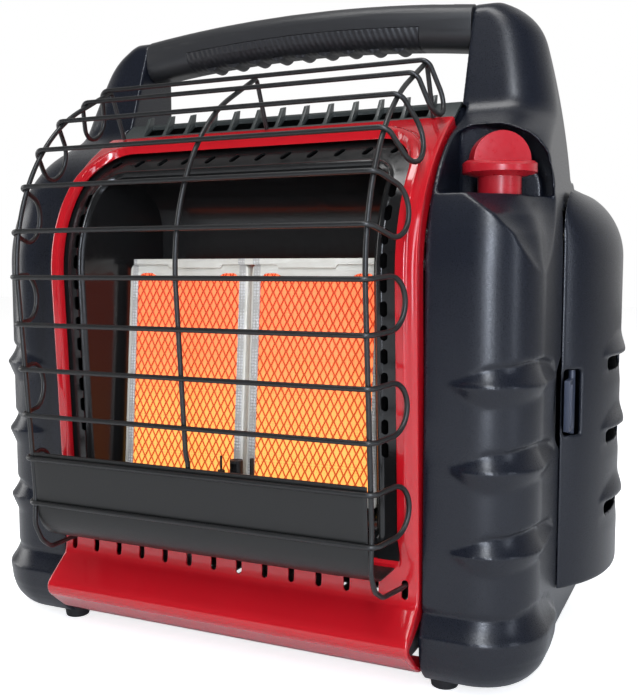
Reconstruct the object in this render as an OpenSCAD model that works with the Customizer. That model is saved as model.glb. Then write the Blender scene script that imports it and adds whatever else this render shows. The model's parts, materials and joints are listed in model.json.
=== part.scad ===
// Portable radiant heater for two disposable gas cylinders, with a wire guard,
// a carrying handle, a bay with a hinged door on each side and a small fan.
// Millimetres. X runs to the right, Y to the back and Z up, with the floor at Z = 0.

/* [Case] */
// Depth over all, from the guard's front wires to the backs of the door hinges
depth = 294; // [286:1:302]
// Width of the red front panel
panel_w = 272; // [268:1:284]
// How far the front panel stands behind the guard's front
guard_reach = 50.5; // [46:0.5:54]
// Width of the inner case between the two cylinder bays
case_w = 247; // [242:1:250]
// Thickness of folded sheet steel
sheet = 1.2; // [0.8:0.1:1.6]
// Height of the rubber feet under the base
foot_h = 9; // [7:0.5:12]
// Diameter of a rubber foot
foot_d = 20; // [16:1:24]
// Height of the front lip's underside
lip_z = 13; // [12:0.5:15]

/* [Side housings] */
// Width of a side housing beside the front panel
column_w = 66; // [62:1:70]
// How far the column's face stands behind the front panel
column_set = 10.5; // [8:0.5:14]
// Radius of the column's front corner
column_r = 38; // [32:1:42]
// Wall thickness of the mouldings
wall = 2.6; // [2:0.1:3.2]
// Gap between neighbouring pieces
gap = 0.4; // [0.3:0.05:0.8]
// Height of the ridge of the top hood
hood_z = 195; // [190:1:200]
// Distance from one hood to the next
hood_pitch = 51; // [46:1:52]
// Height of the ledge that the knob stands on
ledge_z = 309.5; // [304:0.5:312]
// Height of the towers
tower_h = 447.5; // [440:0.5:455]
// How far a tower's inner face stands in from the panel's edge
tower_in = 2; // [1:0.5:6]

/* [Cylinder bays] */
// Diameter of a disposable gas cylinder
cylinder_d = 98; // [94:1:100]
// Depth of a bay from front to back
bay_depth = 130.6; // [129:0.2:134]
// Height of the bay's floor
bay_floor = 50; // [48:1:54]
// Height of the bay's ceiling
bay_top = 303; // [298:1:304]
// Diameter of the door hinge pins
hinge_pin_d = 3; // [2.5:0.5:4]
// Outside radius of the hinge knuckles
knuckle_r = 4; // [3.5:0.25:4.5]
// Running clearance round a pin or a shaft
run_fit = 0.05; // [0.02:0.01:0.1]

/* [Handle] */
// Height of the handle's section
handle_h = 31.5; // [28:0.5:36]
// Depth of the handle's section
handle_d = 34; // [28:1:38]
// Rise of the handle's crown at the middle
handle_crown = 8.3; // [4:0.1:12]
// From the top of a tower down to the handle's underside
handle_drop = 31.7; // [29.5:0.1:38]
// How far the handle's middle stands behind the face of the column
handle_set = 124.9; // [118:0.1:130]
// Distance between the finger ridges of the grip
grip_pitch = 19.5; // [16:0.5:24]

/* [Guard] */
// Diameter of the guard wire
wire_d = 3.2; // [2.5:0.1:4]
// Distance from one guard ring to the next along the guard
ring_pitch = 61; // [58:0.5:62]
// Height of a guard ring along the guard
ring_gap = 31; // [27:0.5:32]
// Height of the topmost guard ring along the guard
top_ring_gap = 25.5; // [22:0.5:28]
// Distance of the outer uprights from the middle
upright_x = 122.4; // [119:0.2:124]
// How far a ring's end loops reach back
loop_reach = 34; // [30:0.5:36]
// Height of the lowest guard wire
guard_z = 106; // [102:1:110]

/* [Front panel] */
// Distance between two slots in the front panel
slot_pitch = 19.55; // [19:0.05:19.8]
// Width of a slot
slot_w = 4.4; // [3:0.2:6]
// Length of a slot
slot_len = 12.3; // [9:0.3:15]
// Width of the panel's window
window_w = 246; // [240:1:250]
// Width of the opening in the black trim
trim_open_w = 216; // [212:1:222]

/* [Burners] */
// Width of one burner frame
tile_w = 100; // [94:1:103]
// Height of one burner frame
tile_h = 160; // [150:1:165]
// Width of a burner frame's border
tile_border = 6.8; // [5:0.2:9]
// Thickness of the ceramic tile
tile_t = 13; // [10:0.5:15]
// Lean of the burners in degrees
tile_lean = 4.6; // [2:0.2:6]

/* [Control knob] */
// Diameter of the knob's skirt
knob_d = 46; // [40:1:48]
// Height of the knob above the gap under its skirt
knob_h = 28; // [24:1:32]
// Diameter of the knob's collar
collar_d = 27; // [22:1:30]
// Travel of the knob when it is pushed in
push_travel = 4; // [2:0.5:6]

/* [Fan] */
// Diameter of the fan rotor
fan_d = 84; // [70:1:90]
// Number of fan blades
fan_blades = 7; // [5:1:9]

/* [Hidden] */
$fn = 48;
eps = 0.01;

// ---- planes that the pieces share
guard_y = -depth / 2 + wire_d / 2;
panel_y = guard_y + guard_reach;
column_y = panel_y + column_set;
panel_edge = panel_w / 2;
side_x = panel_edge + column_w;
inner_x = panel_edge + 1.4;
tower_x = panel_edge - tower_in;
case_x = case_w / 2;
bay_x = case_x + gap;
back_y = depth / 2 - 2 * knuckle_r - gap;
bay_y = back_y - bay_depth;
base_z = foot_h;
pan_z = lip_z + sheet + 0.3;
handle_z = tower_h - handle_drop;
handle_y = column_y + handle_set;
tower_back = handle_y + handle_d / 2 + 3;

// ---- helpers

// Points on an arc from one angle to another
function arc(c, r, a0, a1, n = 12) =
    [for (i = [0:n]) let (a = a0 + (a1 - a0) * i / n) [c.x + r * cos(a), c.y + r * sin(a)]];

function unit(v) = v / norm(v);
function turned(v) = [-v.y, v.x];
function reversed(p) = [for (i = [len(p) - 1:-1:0]) p[i]];

// A line of points moved sideways by d, to its left when d is positive
function beside(p, d) = [for (i = [0:len(p) - 1])
    let (t0 = unit(p[max(i, 1)] - p[max(i, 1) - 1]),
         t1 = unit(p[min(i, len(p) - 2) + 1] - p[min(i, len(p) - 2)]),
         n = unit(turned(t0) + turned(t1)))
    p[i] + n * d / (n * turned(t0))];

// The outline of a folded sheet whose outer face follows the points
function folded(p, t) = concat(p, reversed(beside(p, t)));

// Prisms along the three axes
module prism_x(x0, x1) {
    translate([x0, 0, 0]) rotate([90, 0, 90]) linear_extrude(x1 - x0) children();
}
module prism_y(y0, y1) {
    translate([0, y1, 0]) rotate([90, 0, 0]) linear_extrude(y1 - y0) children();
}
module prism_z(z0, z1) {
    translate([0, 0, z0]) linear_extrude(z1 - z0) children();
}

// A box between two corners
module block(a, b) {
    translate(a) cube(b - a);
}

// A slot with round ends along local Y, cut through along local Z
module slot(w, len, h) {
    for (s = [-1, 1]) translate([0, s * (len - w) / 2, 0]) cylinder(h = h, d = w, center = true);
    cube([w, len - w, h], center = true);
}

// The same piece on the right or, mirrored, on the left
module on_side(side) {
    if (side > 0) children();
    else mirror([1, 0, 0]) children();
}

// A round wire swept along points; side gives the direction across the wire at each point
function cross_at(p, i, closed) =
    let (n = len(p),
         a = closed ? p[(i + n - 1) % n] : p[max(i - 1, 0)],
         b = closed ? p[(i + 1) % n] : p[min(i + 1, n - 1)])
    unit(b - a);

module wire(p, side, d, closed = false, sides = 8) {
    n = len(p);
    rim = [for (i = [0:n - 1])
        let (t = cross_at(p, i, closed), u = unit(side[i] - t * (side[i] * t)), v = cross(t, u))
        for (k = [0:sides - 1]) p[i] + d / 2 * (u * cos(360 * k / sides) + v * sin(360 * k / sides))];
    last = closed ? n - 1 : n - 2;
    skin = [for (i = [0:last], k = [0:sides - 1])
        let (a = i * sides, b = ((i + 1) % n) * sides, j = (k + 1) % sides)
        each [[a + k, b + k, b + j], [a + k, b + j, a + j]]];
    ends = closed ? [] : [[for (k = [0:sides - 1]) k],
        [for (k = [sides - 1:-1:0]) (n - 1) * sides + k]];
    polyhedron(rim, concat(skin, ends), convexity = 6);
}

// ---- front panel: its side view, from the lip up to the back edge at the top

panel_lean = 2.9;
panel_bend_z = 257;
lip_y = panel_y - 12;
band_z = 66;
bend_r = 90;
crown_r = 170;
bend_head = 52;
crown_head = 28;
band_y = panel_y + (panel_bend_z - band_z) * tan(panel_lean);
bend_c = [panel_y + bend_r * cos(panel_lean), panel_bend_z + bend_r * sin(panel_lean)];
crown_c = bend_c + (bend_r - crown_r) * [cos(bend_head + 90), sin(bend_head + 90)];

// Upright face and the bend over to the top
panel_face = concat([[band_y, band_z]],
    arc(bend_c, bend_r, 180 + panel_lean, bend_head + 90, 14),
    [for (p = arc(crown_c, crown_r, bend_head + 90, crown_head + 90, 8)) if (p.x > bend_c.x
        + bend_r * cos(bend_head + 90) + 0.5) p]);
panel_top = panel_face[len(panel_face) - 1];
deck_rise = 13.6;
deck_z = panel_top.y + deck_rise;
lip_nose = [lip_y + 8, lip_z + 24];
panel_lip = concat([[lip_y + 48, lip_z], [lip_y + 27, lip_z], [lip_y + 17, lip_z + 5.5]],
    arc(lip_nose, 8, 225, 138, 6),
    [[band_y - 1.5, 57.5]]);
panel_side = concat(panel_lip, panel_face);

// ---- side housing: outlines in the three views, drawn d inside the outer face

bend_drop = 185.5;
column_bend_z = tower_h - bend_drop;
column_bend_r = 102;
tower_head = 70;
foot_drop = 79.2;
tower_foot = [column_y + 84.6, tower_h - foot_drop];
neck_r = 25;
neck_t = neck_r * tan((tower_head - crown_head) / 2);
neck_c = tower_foot - neck_t * [cos(crown_head), sin(crown_head)]
    + neck_r * [cos(crown_head + 90), sin(crown_head + 90)];
brow_r = 14;
brow_c = [tower_foot.x + (tower_h - brow_r - tower_foot.y) / tan(tower_head)
    + brow_r / sin(tower_head), tower_h - brow_r];
tower_back_r = 12;
shoulder_r = 52;
shoulder_c = [side_x - 23, bay_top - 31];
roof_top = shoulder_c.y + shoulder_r;

function housing_side(d) = concat(
    [[column_y + d, base_z + d]],
    arc([column_y + column_bend_r, column_bend_z], column_bend_r - d, 180, crown_head + 90, 14),
    arc(neck_c, neck_r + d, crown_head - 90, tower_head - 90, 8),
    arc(brow_c, brow_r - d, tower_head + 90, 90, 8),
    arc([tower_back - tower_back_r, tower_h - tower_back_r], tower_back_r - d, 90, 0, 8),
    [[tower_back - d, roof_top - d], [back_y - d, roof_top - d], [back_y - d, base_z + d]]);

corner_c = [side_x - column_r, column_y + column_r];
back_corner_r = 8;

function housing_plan(d) = concat(
    [[0, column_y + d]],
    arc(corner_c, column_r - d, -90, 0, 18),
    arc([side_x - back_corner_r, back_y - back_corner_r], back_corner_r - d, 0, 90, 6),
    [[0, back_y - d]]);

flank_r = 588;
flank_turn = 15;
flank_c = [side_x - flank_r, tower_h - 182.5];
crest_r = 43;
crest_c = flank_c + (flank_r - crest_r) * [cos(flank_turn), sin(flank_turn)];
crest_z = crest_c.y + crest_r;

function housing_front(d) = concat(
    [[0, base_z + d], [side_x - d, base_z + d]],
    arc(flank_c, flank_r - d, 0, flank_turn, 8),
    arc(crest_c, crest_r - d, flank_turn, 90, 10),
    [[0, crest_z - d]]);

// The roof behind the tower, rounded off towards the door
function roof_front(d) = concat(
    [[0, base_z + d], [side_x - d, base_z + d]],
    arc(shoulder_c, shoulder_r - d, acos((side_x - shoulder_c.x - d) / (shoulder_r - d)), 90, 8),
    [[0, roof_top - d]]);

module housing_solid(d) {
    intersection() {
        prism_x(d > 0 ? 0 : 1, side_x + 9) polygon(housing_side(d));
        prism_z(base_z, tower_h + 1) polygon(housing_plan(d));
        union() {
            prism_y(column_y - 1, tower_back + eps) polygon(housing_front(d));
            prism_y(tower_back - 20, back_y + 1) polygon(roof_front(d));
        }
    }
}

// Height of the step that the top cover rests on
cover_t = 2;
step_z = deck_z - cover_t - gap;

// Space of the housing on the case's side of its inner walls
module inner_space(d) {
    block([inner_x + d, column_y - 30, 0], [side_x + 30, bay_y + eps, tower_h + 10]);
    block([bay_x + d, bay_y - d, 0], [side_x + 30, back_y + 10, step_z - d]);
    block([tower_x + d, column_y, step_z - d - eps], [side_x + 30, back_y + 10, tower_h + 10]);
}

// Hooded gills: two shallow cones back to back, wider than the corner they lie in
hood_rise = 14;
hood_drop = 12.5;
hood_proud = 4;
hood_c = corner_c + [-1.4, 9.2];
hood_r = column_r + 10.2;

module column_hood(z) {
    translate([hood_c.x, hood_c.y, z]) {
        cylinder(h = hood_rise, r1 = hood_r, r2 = hood_r - hood_proud - 0.2, $fn = 96);
        translate([0, 0, -hood_drop]) cylinder(h = hood_drop, r1 = hood_r - hood_proud - 0.2,
            r2 = hood_r, $fn = 96);
    }
}

// Flared foot of the column, in section from the column's corner outwards
flare = 6.5;
flare_z = 42;
flare_top = 62;
flare_section = [[column_r - 12, base_z], [column_r - 7, base_z], [column_r + flare - 2, flare_z - 14],
    [column_r + flare, flare_z], [column_r - 1, flare_top], [column_r - 12, flare_top]];

module flared_foot() {
    translate([corner_c.x, corner_c.y, 0]) rotate([0, 0, -90])
        rotate_extrude(angle = 90, $fn = 96) polygon(flare_section);
    translate([corner_c.x, corner_c.y, 0]) {
        rotate([0, 0, -90]) prism_y(-eps, corner_c.x - inner_x) polygon(flare_section);
        prism_y(-eps, bay_y - gap - corner_c.y) polygon(flare_section);
    }
}

// Knob pocket in the right housing, and the slanting facet under its ledge
knob_c = [side_x - 32, column_y + 47];
pocket_head = -60;
pocket_r = 37;
pocket_z = ledge_z + 5;
facet_head = -29.4;
facet_at = [side_x, column_y + 69];
facet_lean = 21.8;

module pocket(d) {
    translate([knob_c.x, knob_c.y, 0]) rotate([0, 0, pocket_head]) {
        intersection() {
            translate([-27 - d, 0, pocket_z]) rotate([0, 90, 0]) cylinder(h = 110, r = pocket_r + d, $fn = 96);
            block([-30 - d, -pocket_r - 5, ledge_z - d], [90, pocket_r + 5, ledge_z + 60]);
        }
    }
}

module facet(d) {
    translate([facet_at.x, facet_at.y, ledge_z]) rotate([0, 0, facet_head])
        rotate([0, -facet_lean, 0]) block([-d, -120, -90], [80, 120, 0]);
}

// ---- cylinder door: outlines from above and from the front

door_c = [side_x - 17, back_y - 58];
door_a = 46;
door_b = 78;
door_z = 48;
door_face = side_x + gap;
door_back = back_y - 0.6;

function door_y(x) = door_b * sqrt(max(0, 1 - pow((x - door_c.x) / door_a, 2)));
function door_plan(d) = let (a0 = acos((door_face - door_c.x) / door_a), n = 24,
        a1 = asin((door_back - door_c.y) / door_b)) concat(
    [for (i = [0:n]) let (a = -a0 + (a0 + a1) * i / n)
        [door_c.x + (door_a - d) * cos(a), door_c.y + (door_b - d) * sin(a)]],
    [[door_face - (d > 0 ? 30 : 0), door_back - d], [door_face - (d > 0 ? 30 : 0), door_c.y
        - (door_b - d) * sin(a0)]]);
door_out = door_c.x + door_a;
function door_front(d) = concat(
    [[door_face - 40, door_z + d]],
    arc([door_out - 8, door_z + 8], 8 - d, -90, 0, 5),
    arc(shoulder_c, shoulder_r - d, 0, 90, 14),
    [[door_face - 40, shoulder_c.y + shoulder_r - d]]);

module door_solid(d) {
    intersection() {
        prism_z(door_z, shoulder_c.y + shoulder_r + 1) polygon(door_plan(d));
        prism_y(bay_y - 20, back_y) polygon(door_front(d));
    }
}

door_hood_z = hood_z + 10;
door_hood_r = 84.3;
door_hood_c = [door_out + hood_proud - door_hood_r, door_c.y - 2.5];
vent_h = 11;

module door_hood(z) {
    translate([door_hood_c.x, door_hood_c.y, z])
        cylinder(h = hood_rise, r1 = door_hood_r, r2 = door_hood_r - hood_proud - 0.4, $fn = 120);
}

// Hinge line of a door, and the heights of its two hinges
hinge_c = [side_x + 1.5, back_y + knuckle_r + gap];
hinge_zs = [88, 262];
knuckle_h = 12;
knuckle_gap = 0.5;

module knuckle(z0, z1) {
    translate([hinge_c.x, hinge_c.y, z0]) difference() {
        cylinder(h = z1 - z0, r = knuckle_r);
        translate([0, 0, -1]) cylinder(h = z1 - z0 + 2, d = hinge_pin_d);
    }
}

// Recess at the door's front edge, and the latch tab in it
latch_z0 = 153;
latch_z1 = 197;
latch_pin = [side_x + 5.6, bay_y + 12];
latch_pin_d = 2.4;
tab_z0 = 157;
tab_z1 = 191;

module latch_recess(d) {
    block([side_x + 1.6 - d, bay_y - 12, latch_z0 - d], [side_x + 40, bay_y + 19 + d, latch_z1 + d]);
}

// ---- guard: side view of the wire's centre line

guard_lean = 4.7;
guard_r = 131;
guard_c = [guard_y + guard_r, 262.7];
guard_head = 28;
guard_foot = guard_c + guard_r * [cos(180 + guard_lean), sin(180 + guard_lean)];
guard_low = [guard_foot.x + (guard_foot.y - guard_z) * tan(guard_lean), guard_z];
lower_len = norm(guard_foot - guard_low);
bend_len = guard_r * (180 + guard_lean - 90 - guard_head) * PI / 180;

// Point and heading at a length along the guard from its lowest wire
function guard_head_at(s) = s < lower_len ? 90 + guard_lean
    : max(guard_head, 90 + guard_lean - (s - lower_len) / guard_r * 180 / PI);
function guard_at(s) = s < lower_len
    ? guard_low + s * unit(guard_foot - guard_low)
    : let (h = guard_head_at(s), p = guard_c + guard_r * [cos(h + 90), sin(h + 90)])
        p + max(0, s - lower_len - bend_len) * [cos(guard_head), sin(guard_head)];
function ring_mid(k) = ring_gap / 2 + k * ring_pitch;

// Where the ring wire lies along its developed length: [x, distance in from the guard's face]
loop_lean = 15;
loop_bend_r = 7;
loop_x = upright_x + 3.2;
loop_t = loop_bend_r * tan((90 - loop_lean) / 2);
loop_arc = loop_bend_r * (90 - loop_lean) * PI / 180;
function loop_fold(s) = let (x0 = loop_x - loop_t, e = s - x0)
    e <= 0 ? [s, 0, 0]
    : e < loop_arc ? let (a = e / loop_bend_r * 180 / PI)
        [x0 + loop_bend_r * sin(a), loop_bend_r * (1 - cos(a)), a]
    : let (l = e - loop_arc + loop_t) [loop_x + l * sin(loop_lean), l * cos(loop_lean), 90 - loop_lean];
ring_end = loop_x - 2 * loop_t + loop_arc + (loop_reach - ring_gap / 2) / cos(loop_lean);

// Half of a ring in its developed plane, right end, from bottom to top: [length, height]
function half_ring(h) = concat(
    [for (i = [0:5]) [loop_x - loop_t + loop_arc * i / 5, -h]],
    [for (i = [0:10]) [ring_end + h * cos(-90 + 18 * i), h * sin(-90 + 18 * i)]],
    [for (i = [5:-1:0]) [loop_x - loop_t + loop_arc * i / 5, h]]);

module guard_ring(k, gap_h) {
    s = ring_mid(k);
    mid = (guard_at(s + gap_h / 2) + guard_at(s - gap_h / 2)) / 2;
    up = unit(guard_at(s + gap_h / 2) - guard_at(s - gap_h / 2));
    inward = [up.y, -up.x];
    half = half_ring(gap_h / 2);
    // [x, in, turn, height] for the whole ring
    path = concat(
        [for (q = half) let (f = loop_fold(q.x)) [f.x, f.y, f.z, q.y]],
        [for (q = reversed(half)) let (f = loop_fold(q.x)) [-f.x, f.y, -f.z, q.y]]);
    wire([for (q = path) let (yz = mid + inward * q[1] + up * q[3]) [q[0], yz.x, yz.y]],
        [for (q = path) let (n = inward * cos(q[2])) [-sin(q[2]), n.x, n.y]], wire_d, closed = true);
}

// ---- burners: a frame that leans back, with its origin at the middle of the tiles' foot

tile_z = 108;
tile_y = panel_y + 36.5;
tile_gap = 1.4;
screen_t = 1;
plenum_d = 26;

module burner_place() {
    translate([0, tile_y, tile_z]) rotate([-tile_lean, 0, 0]) children();
}

// ---- reflector box: side view of its roof
roof_c = [panel_y + 68.9, 292];

// ---- fan and battery
fan_c = [-52, 0, 250];
fan_y = back_y - 34;
fan_shaft_d = 3;
motor_d = 28;
battery_c = [62, 0, 96];
battery_w = 96;
battery_h = 74;
cover_z = battery_c.z - battery_h / 2 - 4;

// ---- regulators
reg_pivot = [bay_x + 26, bay_y + 17];
bottle_side = 1;
bottle_back = 4.4;
reg_c = [bay_x + wall + cylinder_d / 2 + bottle_side, back_y - wall - cylinder_d / 2 - bottle_back];
reg_socket_drop = 28;
pipe_z = 286;
reg_socket_z = pipe_z - reg_socket_drop;
socket_r = 12.7;
reg_d = 44;
reg_h = 30;
elbow_d = 9;
floor_vent_d = 32;

// ================= pieces =================

module base_pan() {
    color("dimgray") difference() {
        union() {
            block([-case_x, column_y + 12, pan_z], [case_x, back_y - 4, pan_z + sheet]);
            for (s = [-1, 1]) block([s * case_x - (s > 0 ? sheet : 0), column_y + 12, pan_z],
                [s * case_x + (s > 0 ? 0 : sheet), back_y - 4, pan_z + 30]);
            block([-case_x, back_y - 4 - sheet, pan_z], [case_x, back_y - 4, pan_z + 22]);
        }
        for (x = [-90:30:90]) translate([x, 20, pan_z]) slot(6, 60, 10);
    }
}

feet_x = corner_c.x - 18;
module rubber_feet() {
    color("black") for (sx = [-1, 1], y = [column_y + 23, back_y - 24])
        translate([sx * feet_x, y, 0]) {
            cylinder(h = foot_h, d1 = foot_d - 3, d2 = foot_d);
            translate([0, 0, foot_h - eps]) cylinder(h = wall + 2, d = 6);
            translate([0, 0, foot_h + wall]) cylinder(h = 2.4, d1 = 9, d2 = 6.5);
        }
}

module housing(side) {
    on_side(side) difference() {
        union() {
            intersection() {
                union() {
                    housing_solid(0);
                    for (k = [0:2]) column_hood(hood_z - k * hood_pitch);
                    flared_foot();
                }
                inner_space(0);
                block([0, column_y - flare - 1, base_z], [side_x + flare + 1, back_y, tower_h]);
            }
            for (z = hinge_zs, s = [-1, 1]) {
                z0 = z + s * (knuckle_h + knuckle_gap) - knuckle_h / 2;
                knuckle(z0, z0 + knuckle_h);
                block([side_x - 8, back_y - eps, z0], [hinge_c.x - hinge_pin_d / 2 - 0.6, hinge_c.y, z0 + knuckle_h]);
            }
        }
        difference() {
            intersection() {
                housing_solid(wall);
                inner_space(wall);
            }
            // Walls of the bay
            block([0, bay_y - eps, bay_floor - wall], [side_x + 40, back_y + 1, bay_top + wall]);
            if (side > 0) {
                pocket(wall);
                facet(wall);
            }
        }
        // The bay, open to the side
        block([bay_x + wall, bay_y + wall, bay_floor], [side_x + 40, back_y - wall, bay_top]);
        // Room for the latch
        block([side_x - 1.4, bay_y - 12, latch_z0], [side_x + 10, bay_y + wall + 1, latch_z1]);
        if (side > 0) {
            pocket(0);
            facet(0);
            translate([knob_c.x, knob_c.y, ledge_z - 20]) cylinder(h = 40, d = collar_d + 2 * gap);
        }
        // Socket for the handle's tongue
        translate([0, handle_y, handle_z + handle_h / 2]) rotate([0, 90, 0])
            cylinder(h = tower_x + 10, d = tongue_d + 2 * run_fit);
        // Ways for the gas pipes
        translate([0, pipe_y, pipe_z]) rotate([0, 90, 0]) cylinder(h = bay_x + 10, d = pipe_d + 1.2);
        if (side > 0) for (z = [feed_z, pipe_z]) translate([0, knob_c.y, z]) rotate([0, 90, 0])
            cylinder(h = inner_x + wall + 1, d = pipe_d + 1.2);
        // Vent in the floor of the bay, under the cylinder
        translate([reg_c.x, reg_c.y, base_z - 1]) cylinder(h = bay_floor, d = floor_vent_d);
        // Holes for the feet
        for (y = [column_y + 23, back_y - 24]) translate([feet_x, y, base_z - 1])
            cylinder(h = wall + 2, d = 6);
    }
}
module left_housing() { color([0.13, 0.15, 0.2]) housing(-1); }
module right_housing() { color([0.13, 0.15, 0.2]) housing(1); }

module cylinder_door(side) {
    on_side(side) difference() {
        union() {
            difference() {
                union() {
                    door_solid(0);
                    intersection() {
                        for (k = [0:2]) door_hood(door_hood_z - k * hood_pitch);
                        block([door_face + 6, door_c.y - 60, 0], [side_x + 60, door_back, tower_h]);
                    }
                }
                difference() {
                    door_solid(wall);
                    latch_recess(wall);
                }
            }
            for (z = hinge_zs) {
                knuckle(z - knuckle_h / 2, z + knuckle_h / 2);
                block([hinge_c.x + hinge_pin_d / 2 + 0.6, door_back - eps, z - knuckle_h / 2],
                    [hinge_c.x + 8, hinge_c.y, z + knuckle_h / 2]);
            }
        }
        latch_recess(0);
        for (z = [latch_z0, latch_z1]) translate([latch_pin.x, latch_pin.y, z])
            cylinder(h = 2.4 * wall, d = latch_pin_d + 2 * run_fit, center = true);
        for (k = [0:2]) translate([door_out, door_c.y - 2, door_hood_z - k * hood_pitch - vent_h / 2 - 1.5])
            rotate([90, 0, 90]) rotate([0, 0, 90]) slot(vent_h, 58, 30);
        for (z = hinge_zs) translate([hinge_c.x, hinge_c.y, z])
            cylinder(h = 2 * knuckle_h, d = hinge_pin_d + 2 * run_fit, center = true);
    }
}
module left_cylinder_door() { color([0.13, 0.15, 0.2]) cylinder_door(-1); }
module right_cylinder_door() { color([0.13, 0.15, 0.2]) cylinder_door(1); }

module hinge_pins(side) {
    on_side(side) for (z = hinge_zs) translate([hinge_c.x, hinge_c.y, z])
        cylinder(h = 3 * knuckle_h + 2 * knuckle_gap, d = hinge_pin_d, center = true);
}
module left_hinge_pins() { color("silver") hinge_pins(-1); }
module right_hinge_pins() { color("silver") hinge_pins(1); }

// The tab turns on two short trunnions in the walls of the recess
module door_latch(side) {
    tab_t = 1.6;
    on_side(side) {
        block([latch_pin.x - tab_t, bay_y - 6, tab_z0], [latch_pin.x + tab_t, latch_pin.y, tab_z1]);
        translate([latch_pin.x, latch_pin.y, latch_z0 + gap])
            cylinder(h = latch_z1 - latch_z0 - 2 * gap, r = 2.2);
        translate([latch_pin.x, latch_pin.y, latch_z0 - wall + gap])
            cylinder(h = latch_z1 - latch_z0 + 2 * wall - 2 * gap, d = latch_pin_d);
        translate([latch_pin.x - tab_t, bay_y - 5.2, tab_z0]) cylinder(h = tab_z1 - tab_z0, r = 0.9);
    }
}
module left_door_latch() { color([0.2, 0.23, 0.33]) door_latch(-1); }
module right_door_latch() { color([0.2, 0.23, 0.33]) door_latch(1); }

// ---- handle: an arched bar between the towers, with a soft grip round its lower half
tongue_d = 20;
tongue_len = 12;
handle_span = tower_x - gap;
handle_big_r = (pow(handle_span, 2) + pow(handle_crown, 2)) / (2 * handle_crown);
grip_span = 96;
grip_t = 3;
grip_split = 0.44;

// Handle section, d inside its outer face, with its middle at the origin
module handle_section(d) {
    r = min(handle_h, handle_d) / 2 - 3;
    for (s = [-1, 1]) translate([s * (handle_d / 2 - r), 0]) {
        translate([0, handle_h / 2 - r]) circle(r = r - d);
        translate([0, r - handle_h / 2]) circle(r = r - d);
        translate([d - r, r - handle_h / 2]) square([2 * (r - d), handle_h - 2 * r]);
    }
    translate([-(handle_d / 2 - r), d - handle_h / 2]) square([handle_d - 2 * r, handle_h - 2 * d]);
}

// Sweeps a section along the handle's arch between two distances from the middle
module along_handle(half) {
    turn = asin(half / handle_big_r);
    translate([0, handle_y, handle_z + handle_h / 2 + handle_crown - handle_big_r])
        rotate([90, 0, 0]) rotate([0, 0, 90 - turn]) rotate_extrude(angle = 2 * turn, $fn = 360)
            translate([handle_big_r, 0]) rotate([0, 0, -90]) children();
}

module grip_part() {
    translate([-handle_d, -handle_h]) square([2 * handle_d, handle_h * (0.5 + grip_split)]);
}

module handle_bar() {
    color([0.1, 0.1, 0.11]) {
        difference() {
            intersection() {
                along_handle(handle_span + 6) handle_section(0);
                block([-handle_span, handle_y - handle_d, handle_z - 20],
                    [handle_span, handle_y + handle_d, tower_h + 30]);
            }
            along_handle(grip_span + gap) difference() {
                intersection() {
                    handle_section(-1);
                    grip_part();
                }
                handle_section(grip_t + gap);
            }
        }
        for (s = [-1, 1]) translate([s * (handle_span - 1), handle_y, handle_z + handle_h / 2])
            rotate([0, s * 90, 0]) cylinder(h = tongue_len + 1, d = tongue_d);
    }
}

module handle_grip() {
    color([0.05, 0.05, 0.055]) {
        along_handle(grip_span) difference() {
            intersection() {
                handle_section(0);
                translate([0, -gap]) grip_part();
            }
            handle_section(grip_t);
        }
        for (i = [-4:4]) {
            x = i * grip_pitch;
            drop = handle_big_r - sqrt(pow(handle_big_r, 2) - x * x);
            translate([x, handle_y, handle_z + handle_crown - drop + 4.6]) rotate([90, 0, 0])
                difference() {
                    cylinder(h = handle_d - 16, r = 6.4, center = true);
                    translate([-10, -3.6, -handle_d]) cube([20, 20, 2 * handle_d]);
                }
        }
    }
}

// ---- front panel
window_z0 = 84;
window_top = 347;
window_r = 26;

module window_shape(w, z0, z1, r) {
    difference() {
        translate([-w / 2, z0]) square([w, z1 - z0]);
        for (s = [-1, 1]) translate([s * (w / 2 - r), z1 - r]) difference() {
            translate([s > 0 ? 0 : -r - 1, 0]) square([r + 1, r + 1]);
            circle(r = r);
        }
    }
}

// Return along the panel's side edge, back to the column's face
module panel_return() {
    polygon(concat(beside(panel_side, -sheet / 2), [[panel_top.x, panel_top.y - 9]],
        arc(bend_c, bend_r - 14, bend_head + 90, 180, 6), [[column_y + 8, lip_z + sheet / 2]]));
}

module front_panel() {
    color([0.72, 0.03, 0.06]) difference() {
        union() {
            prism_x(-panel_edge, panel_edge) polygon(folded(panel_side, -sheet));
            for (s = [-1, 1]) on_side(s) prism_x(panel_edge - sheet, panel_edge - 0.05) panel_return();
        }
        prism_y(lip_y - 5, 60) window_shape(window_w, window_z0, window_top, window_r);
        for (k = [-6.5:6.5]) translate([k * slot_pitch, band_y, band_z + 0.8]) rotate([90, 0, 0])
            slot(slot_w, slot_len, 20);
        // Holes for the tops of the guard's uprights
        for (x = [-upright_x, 0, upright_x]) translate([x, guard_toe.x, guard_toe.y])
            rotate([toe_lean, 0, 0]) cylinder(h = 30, d = wire_d + 1, center = true);
    }
}

// ---- black trim inside the panel's window
trim_gap = 0.5;
trim_depth = sheet + trim_gap;
trim_line = beside(panel_face, -trim_depth);
trim_foot = 76;
trim_z0 = 100;
trim_z1 = 329;
trim_slots = 12;

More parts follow.
